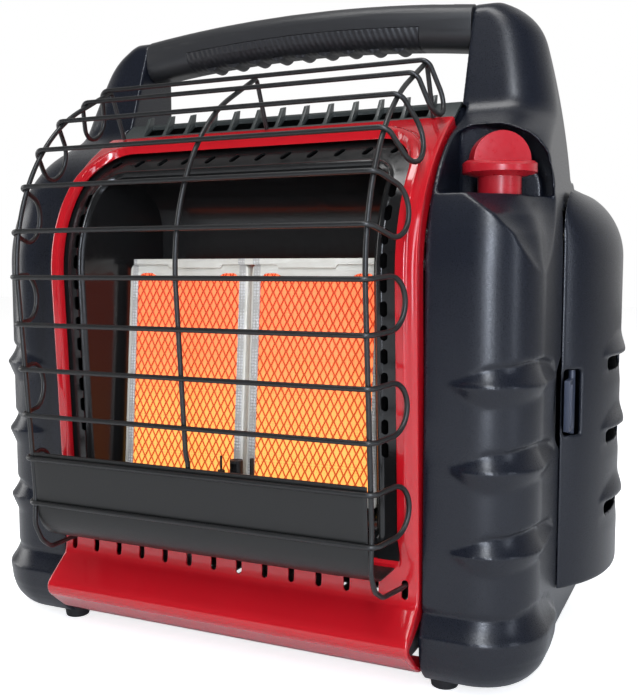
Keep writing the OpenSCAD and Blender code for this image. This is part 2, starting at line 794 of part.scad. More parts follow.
module inner_trim() {
    half = window_w / 2 + 5;
    color([0.03, 0.03, 0.03]) difference() {
        intersection() {
            prism_x(-half, half) polygon(folded(trim_line, -sheet));
            block([-half, lip_y, trim_foot], [half, 60, window_top + 7]);
        }
        prism_y(lip_y, 60) window_shape(trim_open_w, trim_z0, trim_z1, 14);
        for (i = [0:trim_slots - 1]) translate([(i - (trim_slots - 1) / 2) * slot_pitch, panel_y + 32, 339])
            rotate([45, 0, 0]) rotate([0, 0, -28]) slot(3.2, 9, 40);
        for (s = [-1, 1], i = [0:11]) translate([s * (trim_open_w / 2 + 5.5), panel_y, 312 - i * 14.4])
            rotate([90, 0, 0]) slot(4.2, 9.5, 90);
    }
}

// ---- reflector box: walls, roof and the back above the burners
box_w = trim_open_w;
roof_set = 33.4;
box_floor = 101;
box_back = roof_c.x + 31;
box_line = beside(panel_face, -(trim_depth + sheet + gap));
rail_z = tile_z - 10 * sin(tile_lean) - 0.3;

// Side of the box: behind the trim, under the roof
module box_side() {
    intersection() {
        polygon(concat(box_line, [[60, box_line[len(box_line) - 1].y], [60, band_z]]));
        polygon(concat([[lip_y, box_floor], [lip_y, trim_z1 - 1.5], [box_roof[0].x, trim_z1 - 1.5]],
            arc([roof_c.x - 2, roof_c.y], 34, 85, 0, 8), [[box_back + 1, box_floor]]));
    }
}
box_roof = concat([[panel_y + roof_set, trim_z1 - 1.5]], arc([roof_c.x - 2, roof_c.y], 33, 90, 0, 10),
    [[box_back, box_floor]]);

module reflector_box() {
    color([0.02, 0.02, 0.02]) {
        difference() {
            union() {
                prism_x(-box_w / 2, box_w / 2) polygon(folded(box_roof, sheet));
                for (s = [-1, 1]) prism_x(s > 0 ? box_w / 2 - eps : -box_w / 2 - sheet,
                    s > 0 ? box_w / 2 + sheet : -box_w / 2 + eps) box_side();
                prism_x(-box_w / 2, box_w / 2) intersection() {
                    box_side();
                    translate([lip_y, box_floor]) square([200, sheet]);
                }
            }
            for (s = [-1, 1]) on_side(s) burner_place() translate([tube_x, 40, tube_up])
                rotate([-90, 0, 0]) cylinder(h = 60, d = tube_d + 0.7);
        }
        // Rail that carries the burners
        difference() {
            block([-tile_w + 6, tile_y - 2, box_floor + sheet - eps], [tile_w - 6, tile_y + 8, rail_z]);
            block([-tile_w + 5, tile_y - 2 + sheet, box_floor], [tile_w - 5, tile_y + 8 - sheet, rail_z - sheet]);
        }
    }
}

// ---- guard
toe = 38;
toe_lean = 24;
guard_top = guard_at(ring_mid(5) + top_ring_gap / 2 + 3.5);
guard_toe = guard_top + [toe * sin(toe_lean), -toe * cos(toe_lean)] + [4, 0];

module guard_rings() {
    color([0.04, 0.04, 0.04]) {
        for (k = [0:4]) guard_ring(k, ring_gap);
        guard_ring(5, top_ring_gap);
    }
}

// Centre line of an upright behind the rings: [y, z]
upright_in = wire_d + 0.05;
function behind(s) = let (h = guard_head_at(s)) guard_at(s)
    + upright_in * [cos(h - 90), sin(h - 90)];
upright_len = ring_mid(5) + top_ring_gap / 2 + 2.5;

// The middle upright steps back behind the shield and ends there
shield_up = 35;
tuck_z0 = 8;
tuck_step = 8;
function tucked(s) = let (h = guard_head_at(s),
    e = (sheet + 0.55) * min(1, max(0, (shield_up + tuck_step + 2 - s) / tuck_step)))
    behind(s) + e * [cos(h - 90), sin(h - 90)];
upright_foot = [band_y + 4, band_z + 3];

module upright(x, foot_x, hidden = false) {
    face = [for (i = [0:22]) hidden ? tucked(tuck_z0 + i * (upright_len - tuck_z0) / 22)
        : behind(i * upright_len / 22)];
    top = face[22];
    over = [top + [3.4, 0.4], top + [5.4, -2.2], guard_toe + [-0.5, 1]];
    low = [upright_foot, upright_foot + [-6, 0.6], [band_y - 30, band_z + 5], [band_y - 40, band_z + 12],
        [band_y - 46.5, band_z + 25]];
    line = concat(hidden ? [] : [for (i = [0:4])
            [foot_x + (x - foot_x) * max(0, i - 1) / 3, low[i].x, low[i].y]],
        [for (p = face) [x, p.x, p.y]], [for (p = over) [x, p.x, p.y]]);
    wire(line, [for (p = line) [1, 0, 0]], wire_d);
}

module guard_uprights() {
    color([0.04, 0.04, 0.04]) {
        for (s = [-1, 1]) upright(s * upright_x, s * 6.5 * slot_pitch);
        upright(0, 0, hidden = true);
    }
}

// Shield plate behind the lowest ring, curled back under to the panel
shield_x = upright_x - wire_d / 2 - 0.3;
shield_r = 24;
shield_y = guard_low.x + wire_d / 2 + 0.3;

module guard_shield() {
    line = concat([[band_y - 1.2, 79]], arc([shield_y + shield_r, 79 + shield_r], shield_r, 270, 180, 8),
        [[guard_at(shield_up).x + wire_d / 2 + 0.3, guard_z + shield_up]]);
    color([0.05, 0.05, 0.05]) prism_x(-shield_x, shield_x) polygon(folded(line, -sheet));
}

// ---- top cover with its row of upright fins
fin_pitch = 19.2;
fin_t = 2.4;
cover_y0 = panel_top.x + 9;
cover_z0 = panel_top.y + 1.2;
cover_y1 = cover_y0 + 17;

cover_tail = 318;
cover_line = [[cover_y0, cover_z0], [cover_y1, deck_z], [tower_back + 8, deck_z],
    [back_y - 1, cover_tail + 16], [back_y - 1, cover_tail]];

module top_cover() {
    half = tower_x - gap;
    slot_room = fin_pitch - fin_t - 1;
    color([0.07, 0.08, 0.09]) {
        difference() {
            prism_x(-half, half) polygon(folded(cover_line, -cover_t));
            for (k = [-6:5]) translate([(k + 0.5) * fin_pitch - slot_room / 2, cover_y0 + 2.5, cover_z0 - 6])
                cube([slot_room, cover_y1 - cover_y0 - 5, 30]);
            // Only the deck reaches over the housings, in front of the towers' backs
            for (s = [-1, 1]) on_side(s) {
                block([case_x, bay_y, 0], [half + 1, back_y, deck_z - cover_t]);
                block([case_x, tower_back, 0], [half + 1, back_y, deck_z + 1]);
            }
        }
        for (s = [-1, 1]) on_side(s) prism_x(case_x - sheet, case_x) polygon([
            [bay_y + 3, deck_z - 1], [tower_back + 8, deck_z - 1], [back_y - 2, cover_tail + 15],
            [back_y - 2, cover_tail], [tower_back, cover_tail], [bay_y + 3, deck_z - 16]]);
        for (k = [-6:6]) prism_x(k * fin_pitch - fin_t / 2, k * fin_pitch + fin_t / 2) polygon([
            [cover_y0 + 1, cover_z0 - 0.6], [cover_y0 + 7, cover_z0 + 7.5], [cover_y1 - 4, deck_z + 4.6],
            [cover_y1 + 1, deck_z + 6], [cover_y1 - 0.5, deck_z - 1], [cover_y1 - 3, deck_z - 3]]);
    }
}

// ---- back panel
lug_w = 5;
lug_r = 2.5;
screw_x = [-108, 108];
screw_z = [40, 170, 302];

module back_panel() {
    // Round-nosed lugs that hold the battery cover's pin
    color([0.08, 0.08, 0.09]) for (s = [-1, 1]) translate([battery_c.x + s * (battery_w / 2 - 6), 0, 0])
        difference() {
            union() {
                block([-lug_w / 2, back_y - 1.4 - eps, cover_z - lug_r], [lug_w / 2, cover_axis.x, cover_z + lug_r]);
                translate([0, cover_axis.x, cover_axis.y]) rotate([0, 90, 0])
                    cylinder(h = lug_w, r = lug_r, center = true);
            }
            translate([0, cover_axis.x, cover_axis.y]) rotate([0, 90, 0])
                cylinder(h = lug_w + 1, d = cover_pin_d + 2 * run_fit, center = true);
        }
    color([0.08, 0.08, 0.09]) difference() {
        block([-case_x + gap, back_y - 3.4, pan_z + 2], [case_x - gap, back_y - 1.4, cover_tail - gap]);
        translate([fan_c.x, back_y, fan_c.z]) rotate([90, 0, 0]) cylinder(h = 20, d = fan_d + 4, center = true);
        for (x = [28, 50, 72, 94], z = [186:12:290]) translate([x, back_y, z]) rotate([90, 0, 0])
            rotate([0, 0, 90]) slot(5, 16, 20);
        block([battery_c.x - battery_w / 2 + 4, back_y - 10, battery_c.z - battery_h / 2 + 4],
            [battery_c.x + battery_w / 2 - 4, back_y + 1, battery_c.z + battery_h / 2 - 4]);
        block([switch_x - switch_w / 2, back_y - 10, switch_z - switch_h / 2],
            [switch_x + switch_w / 2, back_y + 1, switch_z + switch_h / 2]);
        for (x = screw_x, z = screw_z) translate([x, back_y, z]) rotate([90, 0, 0])
            cylinder(h = 12, d = 4.2, center = true);
    }
}

module back_screws() {
    color("silver") for (x = screw_x, z = screw_z) translate([x, back_y - 1.4, z]) rotate([-90, 0, 0]) {
        difference() {
            cylinder(h = 1.2, d1 = 7, d2 = 5);
            cube([1, 5, 4], center = true);
        }
        translate([0, 0, -9]) cylinder(h = 9, d = 4.2);
    }
}

// ---- burners
module burner_frame(side) {
    w = tile_w - tile_gap;
    on_side(side) burner_place() translate([tile_gap, 0, 0]) difference() {
        union() {
            block([0, -3.4, 0], [w, 0, tile_h]);
            difference() {
                block([0, 0, 0], [w, 10, tile_h]);
                block([1, -1, 1], [w - 1, 11, tile_h - 1]);
            }
        }
        block([tile_border, -4, tile_border], [w - tile_border, 1, tile_h - tile_border]);
    }
}
module left_burner_frame() { color([0.78, 0.77, 0.72]) burner_frame(-1); }
module right_burner_frame() { color([0.78, 0.77, 0.72]) burner_frame(1); }

module ceramic_tile(side) {
    w = tile_w - tile_gap;
    on_side(side) burner_place() translate([tile_gap, 0, 0])
        block([2, 1.4, 2], [w - 2, 1.4 + tile_t, tile_h - 2]);
}
module left_ceramic_tile() { color([1, 0.5, 0.15]) ceramic_tile(-1); }
module right_ceramic_tile() { color([1, 0.5, 0.15]) ceramic_tile(1); }

// The mesh screen, as a thin sheet between the frame and the tile
module screen(side) {
    w = tile_w - tile_gap;
    on_side(side) burner_place() translate([tile_gap, 0, 0])
        block([tile_border - 2, 0.1, tile_border - 2], [w - tile_border + 2, 0.1 + screen_t, tile_h - tile_border + 2]);
}
module left_screen() { color([0.85, 0.2, 0.05]) screen(-1); }
module right_screen() { color([0.85, 0.2, 0.05]) screen(1); }

// Bar across the tops of both frames, with a notched tab over each
module burner_clamp() {
    color([0.74, 0.74, 0.72]) burner_place() difference() {
        union() {
            block([-tile_w + 4, -5.4, tile_h - 1], [tile_w - 4, 12, tile_h + 3.2]);
            for (s = [-1, 1]) clamp_tab(s);
        }
        block([-tile_w, -3.5, tile_h - 8], [tile_w, 13, tile_h + 0.1]);
    }
}
module clamp_tab(s) {
    translate([s * tile_w * 0.44, -3.5, 0]) rotate([90, 0, 0]) linear_extrude(1.9)
        polygon([[-24, tile_h + 2], [24, tile_h + 2], [21, tile_h - 3.4], [-21, tile_h - 3.4]]);
}

module plenum(side) {
    w = tile_w - tile_gap;
    on_side(side) burner_place() translate([tile_gap, 0, 0]) difference() {
        block([1.2, 1.4 + tile_t + 0.1, 4], [w - 1.2, 1.4 + tile_t + plenum_d, tile_h - 4]);
        block([2.4, 1, 5.2], [w - 2.4, 0.2 + tile_t + plenum_d, tile_h - 5.2]);
        translate([w / 2, 0, 26]) rotate([-90, 0, 0]) cylinder(h = 80, d = 22);
    }
}
module left_plenum() { color("silver") plenum(-1); }
module right_plenum() { color("silver") plenum(1); }

mix_len = 34;
tube_d = 21.9;
tube_x = tile_gap + (tile_w - tile_gap) / 2;
tube_up = 26;
tube_end = tile_t + plenum_d + mix_len;

module mixing_tubes() {
    color("silver") for (s = [-1, 1]) on_side(s) burner_place()
        translate([tube_x, tile_t + plenum_d, tube_up]) rotate([-90, 0, 0]) difference() {
            union() {
                cylinder(h = mix_len, d = tube_d);
                translate([0, 0, mix_len - 6]) cylinder(h = 6, d1 = tube_d, d2 = tube_d + 6);
            }
            translate([0, 0, -1]) cylinder(h = mix_len + 2, d = tube_d - 3);
        }
}

pipe_d = 8;
feed_z = pipe_z - 19;
orifice_y = tile_y + tube_end + 8;
orifice_z = tile_z + tube_up * cos(tile_lean) - (tube_end + 8) * sin(tile_lean);
orifice_len = 12;
pipe_y = orifice_y + orifice_len + pipe_d / 2;
riser_x = box_w / 2 + sheet + 1.5 + pipe_d / 2;

module orifices() {
    color([0.8, 0.62, 0.25]) for (s = [-1, 1]) translate([s * tube_x, orifice_y, orifice_z])
        rotate([-90, 0, 0]) {
            difference() {
                cylinder(h = orifice_len - 0.05, d = 11, $fn = 6);
                translate([0, 0, -1]) cylinder(h = 14, d = 1.4);
            }
            translate([0, 0, -5]) difference() {
                cylinder(h = 5 + eps, d1 = 4, d2 = 8);
                translate([0, 0, -1]) cylinder(h = 7, d = 1.4);
            }
        }
}

// A pipe through a list of points, each leg along one axis, with a ball at each corner
ball_d = pipe_d + 1.4;
module pipe_run(p) {
    for (i = [0:len(p) - 2]) {
        v = p[i + 1] - p[i];
        translate(p[i]) rotate([0, acos(v.z / norm(v)), atan2(v.y, v.x)]) cylinder(h = norm(v), d = pipe_d);
        if (i > 0) translate(p[i]) sphere(d = ball_d);
    }
}

// Pipe from the valve, past the box's side and down to both orifices
module burner_pipe() {
    color([0.72, 0.7, 0.66]) pipe_run([[knob_c.x - valve_w / 2, knob_c.y, feed_z],
        [riser_x, knob_c.y, feed_z], [riser_x, pipe_y, feed_z], [riser_x, pipe_y, orifice_z],
        [-tube_x - 8, pipe_y, orifice_z]]);
}

// ---- gas valve and knob
valve_w = 26;
valve_h = 40;
valve_z = ledge_z - wall - valve_h - 8;
stem_d = 8;
stem_flat = valve_z + valve_h - 16;

module gas_valve() {
    color([0.75, 0.74, 0.7]) difference() {
        union() {
            block([knob_c.x - valve_w / 2, knob_c.y - valve_w / 2, valve_z],
                [knob_c.x + valve_w / 2, knob_c.y + valve_w / 2, valve_z + valve_h]);
            translate([knob_c.x, knob_c.y, valve_z + valve_h - eps]) cylinder(h = 3, d = 20);
            // Foot against the housing's inner wall
            block([inner_x + wall, knob_c.y - 12, valve_z + 12.4], [knob_c.x, knob_c.y + 12, valve_z + 15]);
            block([inner_x + wall, knob_c.y - 12, valve_z + 12.4],
                [inner_x + wall + 2.5, knob_c.y + 12, valve_z + 23]);
        }
        translate([knob_c.x, knob_c.y, stem_flat - push_travel - 2]) cylinder(h = 60, d = stem_d + 2 * run_fit);
    }
}

skirt_gap = 11;
skirt_z = ledge_z + skirt_gap;

module valve_stem() {
    color([0.8, 0.7, 0.4]) translate([knob_c.x, knob_c.y, 0]) {
        translate([0, 0, stem_flat]) cylinder(h = skirt_z + 6 - stem_flat, d = stem_d);
        translate([0, 0, valve_z + valve_h + 3 + push_travel + 1.5]) cylinder(h = 2, d = 14);
    }
}

module stem_spring() {
    z0 = valve_z + valve_h + 3;
    color("silver") translate([knob_c.x, knob_c.y, z0]) difference() {
        cylinder(h = push_travel + 1.3, d = 12.6);
        translate([0, 0, -1]) cylinder(h = 20, d = 9.4);
    }
}

// Skirt, half-round grip and collar in one moulding
module control_knob() {
    grip_r = knob_h - 10;
    color([0.8, 0.05, 0.07]) translate([knob_c.x, knob_c.y, 0]) difference() {
        union() {
            translate([0, 0, skirt_z]) cylinder(h = 8.5, d = knob_d, $fn = 72);
            translate([0, 0, skirt_z + 8.5 - eps]) cylinder(h = 1.5, d1 = knob_d, d2 = knob_d - 4, $fn = 72);
            translate([0, 0, ledge_z - push_travel - 1.5]) cylinder(h = skirt_gap + push_travel + 1.5 + eps, d = collar_d);
            intersection() {
                translate([0, 0, skirt_z + 10]) rotate([0, 0, -60]) rotate([0, 90, 0])
                    cylinder(h = 13, r = grip_r, center = true, $fn = 72);
                translate([0, 0, skirt_z + 5]) cylinder(h = 40, d = knob_d);
                block([-40, -40, skirt_z + 2], [40, 40, skirt_z + 60]);
            }
        }
        translate([0, 0, ledge_z - 20]) cylinder(h = 20 + skirt_gap + 8, d = stem_d + 2 * run_fit);
        translate([0, 0, ledge_z - 20]) cylinder(h = 20 + 1, d = collar_d - 5);
    }
}

// Pipe between the two regulators, with a tee and a branch to the valve
tee = 6;
module manifold_pipe() {
    x = reg_pivot.x;
    color([0.72, 0.7, 0.66]) {
        pipe_run([[-x, reg_pivot.y, pipe_z], [-x, pipe_y, pipe_z], [x, pipe_y, pipe_z], [x, reg_pivot.y, pipe_z]]);
        block([riser_x - tee, pipe_y - tee, pipe_z - tee], [riser_x + tee, pipe_y + tee, pipe_z + tee]);
        pipe_run([[riser_x, pipe_y - tee + 1, pipe_z], [riser_x, knob_c.y, pipe_z],
            [knob_c.x - valve_w / 2, knob_c.y, pipe_z]]);
    }
}

// Swivelling elbow in each bay, and the regulator it carries
module elbow(side) {
    on_side(side) translate([reg_pivot.x, reg_pivot.y, 0]) color("silver") difference() {
        union() {
            translate([0, 0, pipe_z - 6]) cylinder(h = bay_top - gap - pipe_z + 6, d = 14);
            translate([0, 0, pipe_z - 16]) cylinder(h = 10 + eps, d = elbow_d);
        }
        translate([0, 0, pipe_z]) rotate([pipe_y > reg_pivot.y ? -90 : 90, 0, 0]) translate([0, 0, -pipe_d / 2 - 1])
            cylinder(h = 20, d = pipe_d + 2 * run_fit);
    }
}
module left_elbow() { elbow(-1); }
module right_elbow() { elbow(1); }

module regulator(side) {
    arm = reg_c - reg_pivot;
    on_side(side) color([0.82, 0.66, 0.3]) difference() {
        union() {
            translate([reg_c.x, reg_c.y, reg_socket_z]) cylinder(h = 12, d = 34);
            translate([reg_c.x, reg_c.y, reg_socket_z + 12 - eps]) cylinder(h = reg_h - 12, d = reg_d);
            translate([reg_c.x, reg_c.y, reg_socket_z + reg_h - eps]) cylinder(h = 6, d1 = 26, d2 = 22);
            translate([reg_pivot.x, reg_pivot.y, pipe_z - 18]) cylinder(h = 11, d = 16);
            translate([reg_pivot.x, reg_pivot.y, pipe_z - 12.5]) rotate([0, 0, atan2(arm.y, arm.x)])
                rotate([0, 90, 0]) cylinder(h = norm(arm), d = 9);
        }
        translate([reg_c.x, reg_c.y, reg_socket_z - 1]) cylinder(h = 11, r = socket_r);
        translate([reg_c.x, reg_c.y, reg_socket_z]) cylinder(h = 20, d = 6);
        translate([reg_pivot.x, reg_pivot.y, pipe_z - 16.5]) cylinder(h = 20, d = elbow_d + 2 * run_fit);
    }
}
module left_regulator() { regulator(-1); }
module right_regulator() { regulator(1); }

// ---- pilot, spark and safety pieces beside the burners
pilot_c = [0, tile_y - 12, box_floor + sheet];

bracket_z = 12;

module pilot_burner() {
    color("silver") translate(pilot_c) difference() {
        union() {
            cylinder(h = 32, d = 9);
            translate([-17, -5, bracket_z]) cube([34, 10, 1.4]);
        }
        translate([0, -6, 27]) cube([5, 12, 6], center = true);
        translate([0, 0, -20]) cylinder(h = 60, d = 2.4);
        for (x = [-12, 12]) translate([x, 0, 0]) cylinder(h = 20, d = 5.1);
    }
}
module electrode() {
    color("ivory") translate(pilot_c + [-12, 0, 0]) {
        translate([0, 0, bracket_z - 6]) cylinder(h = 18, d = 5);
        translate([0, 0, bracket_z + 1.4]) cylinder(h = 2, d = 7);
        translate([0, 0, bracket_z + 11.9]) cylinder(h = 10, d = 1.6);
    }
}
module thermocouple() {
    color("goldenrod") translate(pilot_c + [12, 0, 0]) {
        translate([0, 0, bracket_z - 6]) cylinder(h = 16, d = 5);
        translate([0, 0, bracket_z + 1.4]) cylinder(h = 2, d = 7);
        translate([0, 0, bracket_z + 9.9]) cylinder(h = 12, d = 3);
    }
}
module piezo_igniter() {
    color([0.15, 0.15, 0.16]) translate([inner_x + wall + 7.5 + 0.3, column_y + 22, valve_z - 20]) {
        cylinder(h = 46, d = 15);
        translate([0, 0, -8]) cylinder(h = 8.1, d = 8);
    }
}
module tip_switch() {
    color([0.3, 0.3, 0.32]) {
        block([-104, 40, pan_z + sheet], [-74, 66, pan_z + sheet + 26]);
        translate([-89, 53, pan_z + sheet + 26 - eps]) cylinder(h = 5, d = 12);
    }
}

// ---- fan
module at_fan() {
    translate([fan_c.x, fan_y, fan_c.z]) rotate([-90, 0, 0]) children();
}
module fan_housing() {
    color([0.12, 0.12, 0.13]) at_fan() difference() {
        translate([-fan_d / 2 - 5, -fan_d / 2 - 5, -2]) cube([fan_d + 10, fan_d + 10, 32.2]);
        translate([0, 0, -3]) cylinder(h = 40, d = fan_d + 3, $fn = 72);
    }
    color([0.12, 0.12, 0.13]) at_fan() {
        for (a = [45, 135]) rotate([0, 0, a]) translate([-fan_d / 2 - 3, -3, -2]) cube([fan_d + 6, 6, 3]);
        translate([0, 0, -2]) cylinder(h = 3, d = motor_d + 4);
    }
}
module fan_motor() {
    color("silver") at_fan() {
        translate([0, 0, 1.1]) cylinder(h = 10, d = motor_d);
        translate([0, 0, 11]) cylinder(h = 10, d = fan_shaft_d);
    }
}
module fan_rotor() {
    color([0.1, 0.1, 0.1]) at_fan() difference() {
        union() {
            translate([0, 0, 12]) cylinder(h = 12, d = 24);
            for (i = [0:fan_blades - 1]) rotate([0, 0, i * 360 / fan_blades]) translate([fan_d / 4 + 3, 0, 18])
                rotate([32, 0, 0]) cube([fan_d / 2 - 8, 15, 1.6], center = true);
        }
        translate([0, 0, 10]) cylinder(h = 11.5, d = fan_shaft_d + 2 * run_fit);
    }
}
module fan_grille() {
    color([0.06, 0.06, 0.06]) translate([fan_c.x, back_y - 1.3, fan_c.z]) rotate([-90, 0, 0]) {
        difference() {
            cylinder(h = 2.4, d = fan_d + 12, $fn = 72);
            translate([0, 0, -1]) cylinder(h = 5, d = fan_d - 2, $fn = 72);
        }
        for (r = [12:8:fan_d / 2 - 6]) difference() {
            cylinder(h = 2, r = r + 1, $fn = 60);
            translate([0, 0, -1]) cylinder(h = 4, r = r - 1, $fn = 60);
        }
        for (a = [0:45:135]) rotate([0, 0, a]) translate([-fan_d / 2, -1.1, 0]) cube([fan_d, 2.2, 2]);
        cylinder(h = 2, d = 16);
    }
}

// ---- battery compartment, its cover and the fan's switch
module battery_tray() {
    w = battery_w;
    h = battery_h;
    y1 = back_y - 3.5;
    color([0.1, 0.1, 0.11]) difference() {
        block([battery_c.x - w / 2, y1 - 44, battery_c.z - h / 2], [battery_c.x + w / 2, y1, battery_c.z + h / 2]);
        block([battery_c.x - w / 2 + 2, y1 - 42, battery_c.z - h / 2 + 2],
            [battery_c.x + w / 2 - 2, y1 + 1, battery_c.z + h / 2 - 2]);
    }
}

cover_pin_d = 2.4;
cover_axis = [back_y + 0.9, cover_z];

module battery_cover() {
    w = battery_w - 2;
    color([0.14, 0.14, 0.15]) {
        block([battery_c.x - w / 2, back_y - 1, cover_z + 3], [battery_c.x + w / 2, back_y + 1.4, battery_c.z + battery_h / 2 + 2]);
        block([battery_c.x - w / 2 + 10, back_y - 0.3, cover_z], [battery_c.x + w / 2 - 10, back_y + 1.4, cover_z + 3.1]);
        translate([battery_c.x - w / 2 + 1, cover_axis.x, cover_axis.y]) rotate([0, 90, 0])
            cylinder(h = w - 2, d = cover_pin_d);
        translate([battery_c.x, back_y + 1.3, battery_c.z + battery_h / 2 - 8]) rotate([-90, 0, 0]) cylinder(h = 2.4, d = 12);
    }
}

switch_x = -70;
switch_z = 96;
switch_w = 22;
switch_h = 30;
rocker_pin_d = 3;
rocker_y = back_y - 4.5;

module switch_body() {
    color([0.16, 0.16, 0.17]) difference() {
        block([switch_x - switch_w / 2 - 2, back_y - 20, switch_z - switch_h / 2 - 2],
            [switch_x + switch_w / 2 + 2, back_y - 3.5, switch_z + switch_h / 2 + 2]);
        block([switch_x - switch_w / 2, back_y - 18, switch_z - switch_h / 2],
            [switch_x + switch_w / 2, back_y, switch_z + switch_h / 2]);
        translate([switch_x, rocker_y - 2, switch_z]) rotate([0, 90, 0])
            cylinder(h = switch_w + 10, d = rocker_pin_d + 2 * run_fit, center = true);
    }
}

module fan_switch() {
    color([0.05, 0.05, 0.05]) translate([switch_x, rocker_y - 2, switch_z]) {
        rotate([0, 90, 0]) cylinder(h = switch_w + 3, d = rocker_pin_d, center = true);
        rotate([6, 0, 0]) block([-switch_w / 2 + gap, -1.5, -switch_h / 2 + 1.6],
            [switch_w / 2 - gap, 8.6, switch_h / 2 - 1.6]);
    }
}

base_pan();
rubber_feet();
left_housing();
right_housing();
left_cylinder_door();
right_cylinder_door();
left_hinge_pins();
right_hinge_pins();
left_door_latch();
right_door_latch();
handle_bar();
handle_grip();
front_panel();
inner_trim();
reflector_box();
guard_rings();
guard_uprights();
guard_shield();
top_cover();
back_panel();
back_screws();
left_burner_frame();
right_burner_frame();
left_ceramic_tile();
right_ceramic_tile();
left_screen();
right_screen();
burner_clamp();
left_plenum();
right_plenum();
mixing_tubes();
orifices();
burner_pipe();
gas_valve();
valve_stem();
stem_spring();
control_knob();
manifold_pipe();
left_elbow();
right_elbow();
left_regulator();
right_regulator();
pilot_burner();
electrode();
thermocouple();
piezo_igniter();
tip_switch();
fan_housing();
fan_motor();
fan_rotor();
fan_grille();
battery_tray();
battery_cover();
switch_body();
fan_switch();
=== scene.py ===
# %% [markdown]
# # A portable radiant gas heater
# The heater is a sheet-metal case between two moulded plastic housings. Two ceramic
# burners glow behind a wire guard, and a carrying handle joins the housings' towers.
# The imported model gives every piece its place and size. This notebook models the pieces
# that show once more, with the soft corners, pressed rims and woven wire of the real
# thing, and gives all of them their finishes. Everything is in metres.

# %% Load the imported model
import json
import math

import bpy
import bmesh
import numpy as np
from mathutils import Matrix, Vector


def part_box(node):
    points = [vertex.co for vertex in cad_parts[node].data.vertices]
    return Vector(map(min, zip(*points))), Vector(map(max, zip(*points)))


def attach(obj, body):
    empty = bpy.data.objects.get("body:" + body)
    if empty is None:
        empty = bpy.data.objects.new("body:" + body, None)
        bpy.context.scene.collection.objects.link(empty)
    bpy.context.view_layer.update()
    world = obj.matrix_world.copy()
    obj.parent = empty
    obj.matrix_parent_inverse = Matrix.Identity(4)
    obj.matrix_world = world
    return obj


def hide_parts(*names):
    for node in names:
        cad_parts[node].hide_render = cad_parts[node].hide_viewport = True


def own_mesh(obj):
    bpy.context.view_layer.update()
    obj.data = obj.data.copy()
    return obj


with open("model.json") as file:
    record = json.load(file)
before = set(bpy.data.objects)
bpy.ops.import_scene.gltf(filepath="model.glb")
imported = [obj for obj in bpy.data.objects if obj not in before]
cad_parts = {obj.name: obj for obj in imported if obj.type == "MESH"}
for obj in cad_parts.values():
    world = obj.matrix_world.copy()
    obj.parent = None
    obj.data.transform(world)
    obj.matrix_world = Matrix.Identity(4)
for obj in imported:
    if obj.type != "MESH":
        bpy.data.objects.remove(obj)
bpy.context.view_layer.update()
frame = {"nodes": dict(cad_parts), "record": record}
nodes = frame["nodes"]
body_of = {node: body for body, names in frame["record"]["behaviour"]["bodies"].items()
           for node in names}
slot_of = {row["node"]: row["material_slot"] for row in frame["record"]["subparts"]}
MM = 0.001

# %% [markdown]
# ## Camera
# The heater is seen from its front right, from a little above its burners. A camera is
# placed by its position and two angles, and the lens is chosen so that the heater
# fills the upright picture. The view is set first, because it decides which pieces
# need the most care.

# %% Camera
PICTURE_HEIGHT, FOCAL_PIXELS = 700, 919.4
CAMERA_PLACE = (0.3080, -0.6092, 0.2643)
CAMERA_DIP, CAMERA_TURN = 5.07, 24.54
camera_data = bpy.data.cameras.new("camera")
camera_data.sensor_width = 36
camera_data.lens = FOCAL_PIXELS / PICTURE_HEIGHT * camera_data.sensor_width
camera_data.clip_start = 0.02
camera = bpy.data.objects.new("camera", camera_data)
camera.location = CAMERA_PLACE
camera.rotation_euler = (math.radians(90 - CAMERA_DIP), 0, math.radians(CAMERA_TURN))
bpy.context.scene.collection.objects.link(camera)
bpy.context.scene.camera = camera
print("lens:", round(camera_data.lens, 1), "mm")

# %% [markdown]
# ## Working helpers
# Operators act on all that is selected, so each step starts with nothing selected. In
# edit mode, faces and edges are picked by a rule on their place or direction, which
# does the job of the hand that clicks on them. A piece is finished when its modifiers
# are applied, its corners are smooth, it rides on its body and it has its finish.

# %% Helpers for selecting, editing and finishing a piece
def pick(*objects):
    bpy.ops.object.select_all(action="DESELECT")
    for one in objects:
        one.select_set(True)
    bpy.context.view_layer.objects.active = objects[-1]


def edit(piece, faces=None, edges=None, verts=None):
    """Enters edit mode with the elements selected for which the rule holds"""
    pick(piece)
    mode = "FACE" if faces else "EDGE" if edges else "VERT"
    bpy.ops.object.mode_set(mode="EDIT")
    bpy.ops.mesh.select_mode(type=mode)
    bpy.ops.mesh.select_all(action="DESELECT")
    mesh = bmesh.from_edit_mesh(piece.data)
    mesh.normal_update()
    rule = faces or edges or verts
    rows = mesh.faces if faces else mesh.edges if edges else mesh.verts
    for row in rows:
        if rule(row):
            row.select_set(True)
    mesh.select_flush_mode()
    bmesh.update_edit_mesh(piece.data)


def leave_edit():
    bpy.ops.object.mode_set(mode="OBJECT")


def modify(piece, kind, **settings):
    """Adds a modifier, sets it and applies it"""
    pick(piece)
    modifier = piece.modifiers.new(kind.lower(), kind)
    for name, value in settings.items():
        setattr(modifier, name, value)
    bpy.ops.object.modifier_apply(modifier=modifier.name)
    return piece


def cut(piece, *tools, how="DIFFERENCE"):
    """Cuts the tools out of the piece, or joins them to it, and removes them"""
    for tool in tools:
        modify(piece, "BOOLEAN", operation=how, solver="EXACT", object=tool)
        bpy.data.objects.remove(tool)
    return piece


def join(*pieces):
    pick(*reversed(pieces))
    bpy.ops.object.join()
    return pieces[0]


def clean(piece, distance=0.00002):
    """Merges doubled points and turns the faces outwards"""
    edit(piece, verts=lambda v: True)
    bpy.ops.mesh.remove_doubles(threshold=distance)
    bpy.ops.mesh.normals_make_consistent(inside=False)
    leave_edit()
    return piece


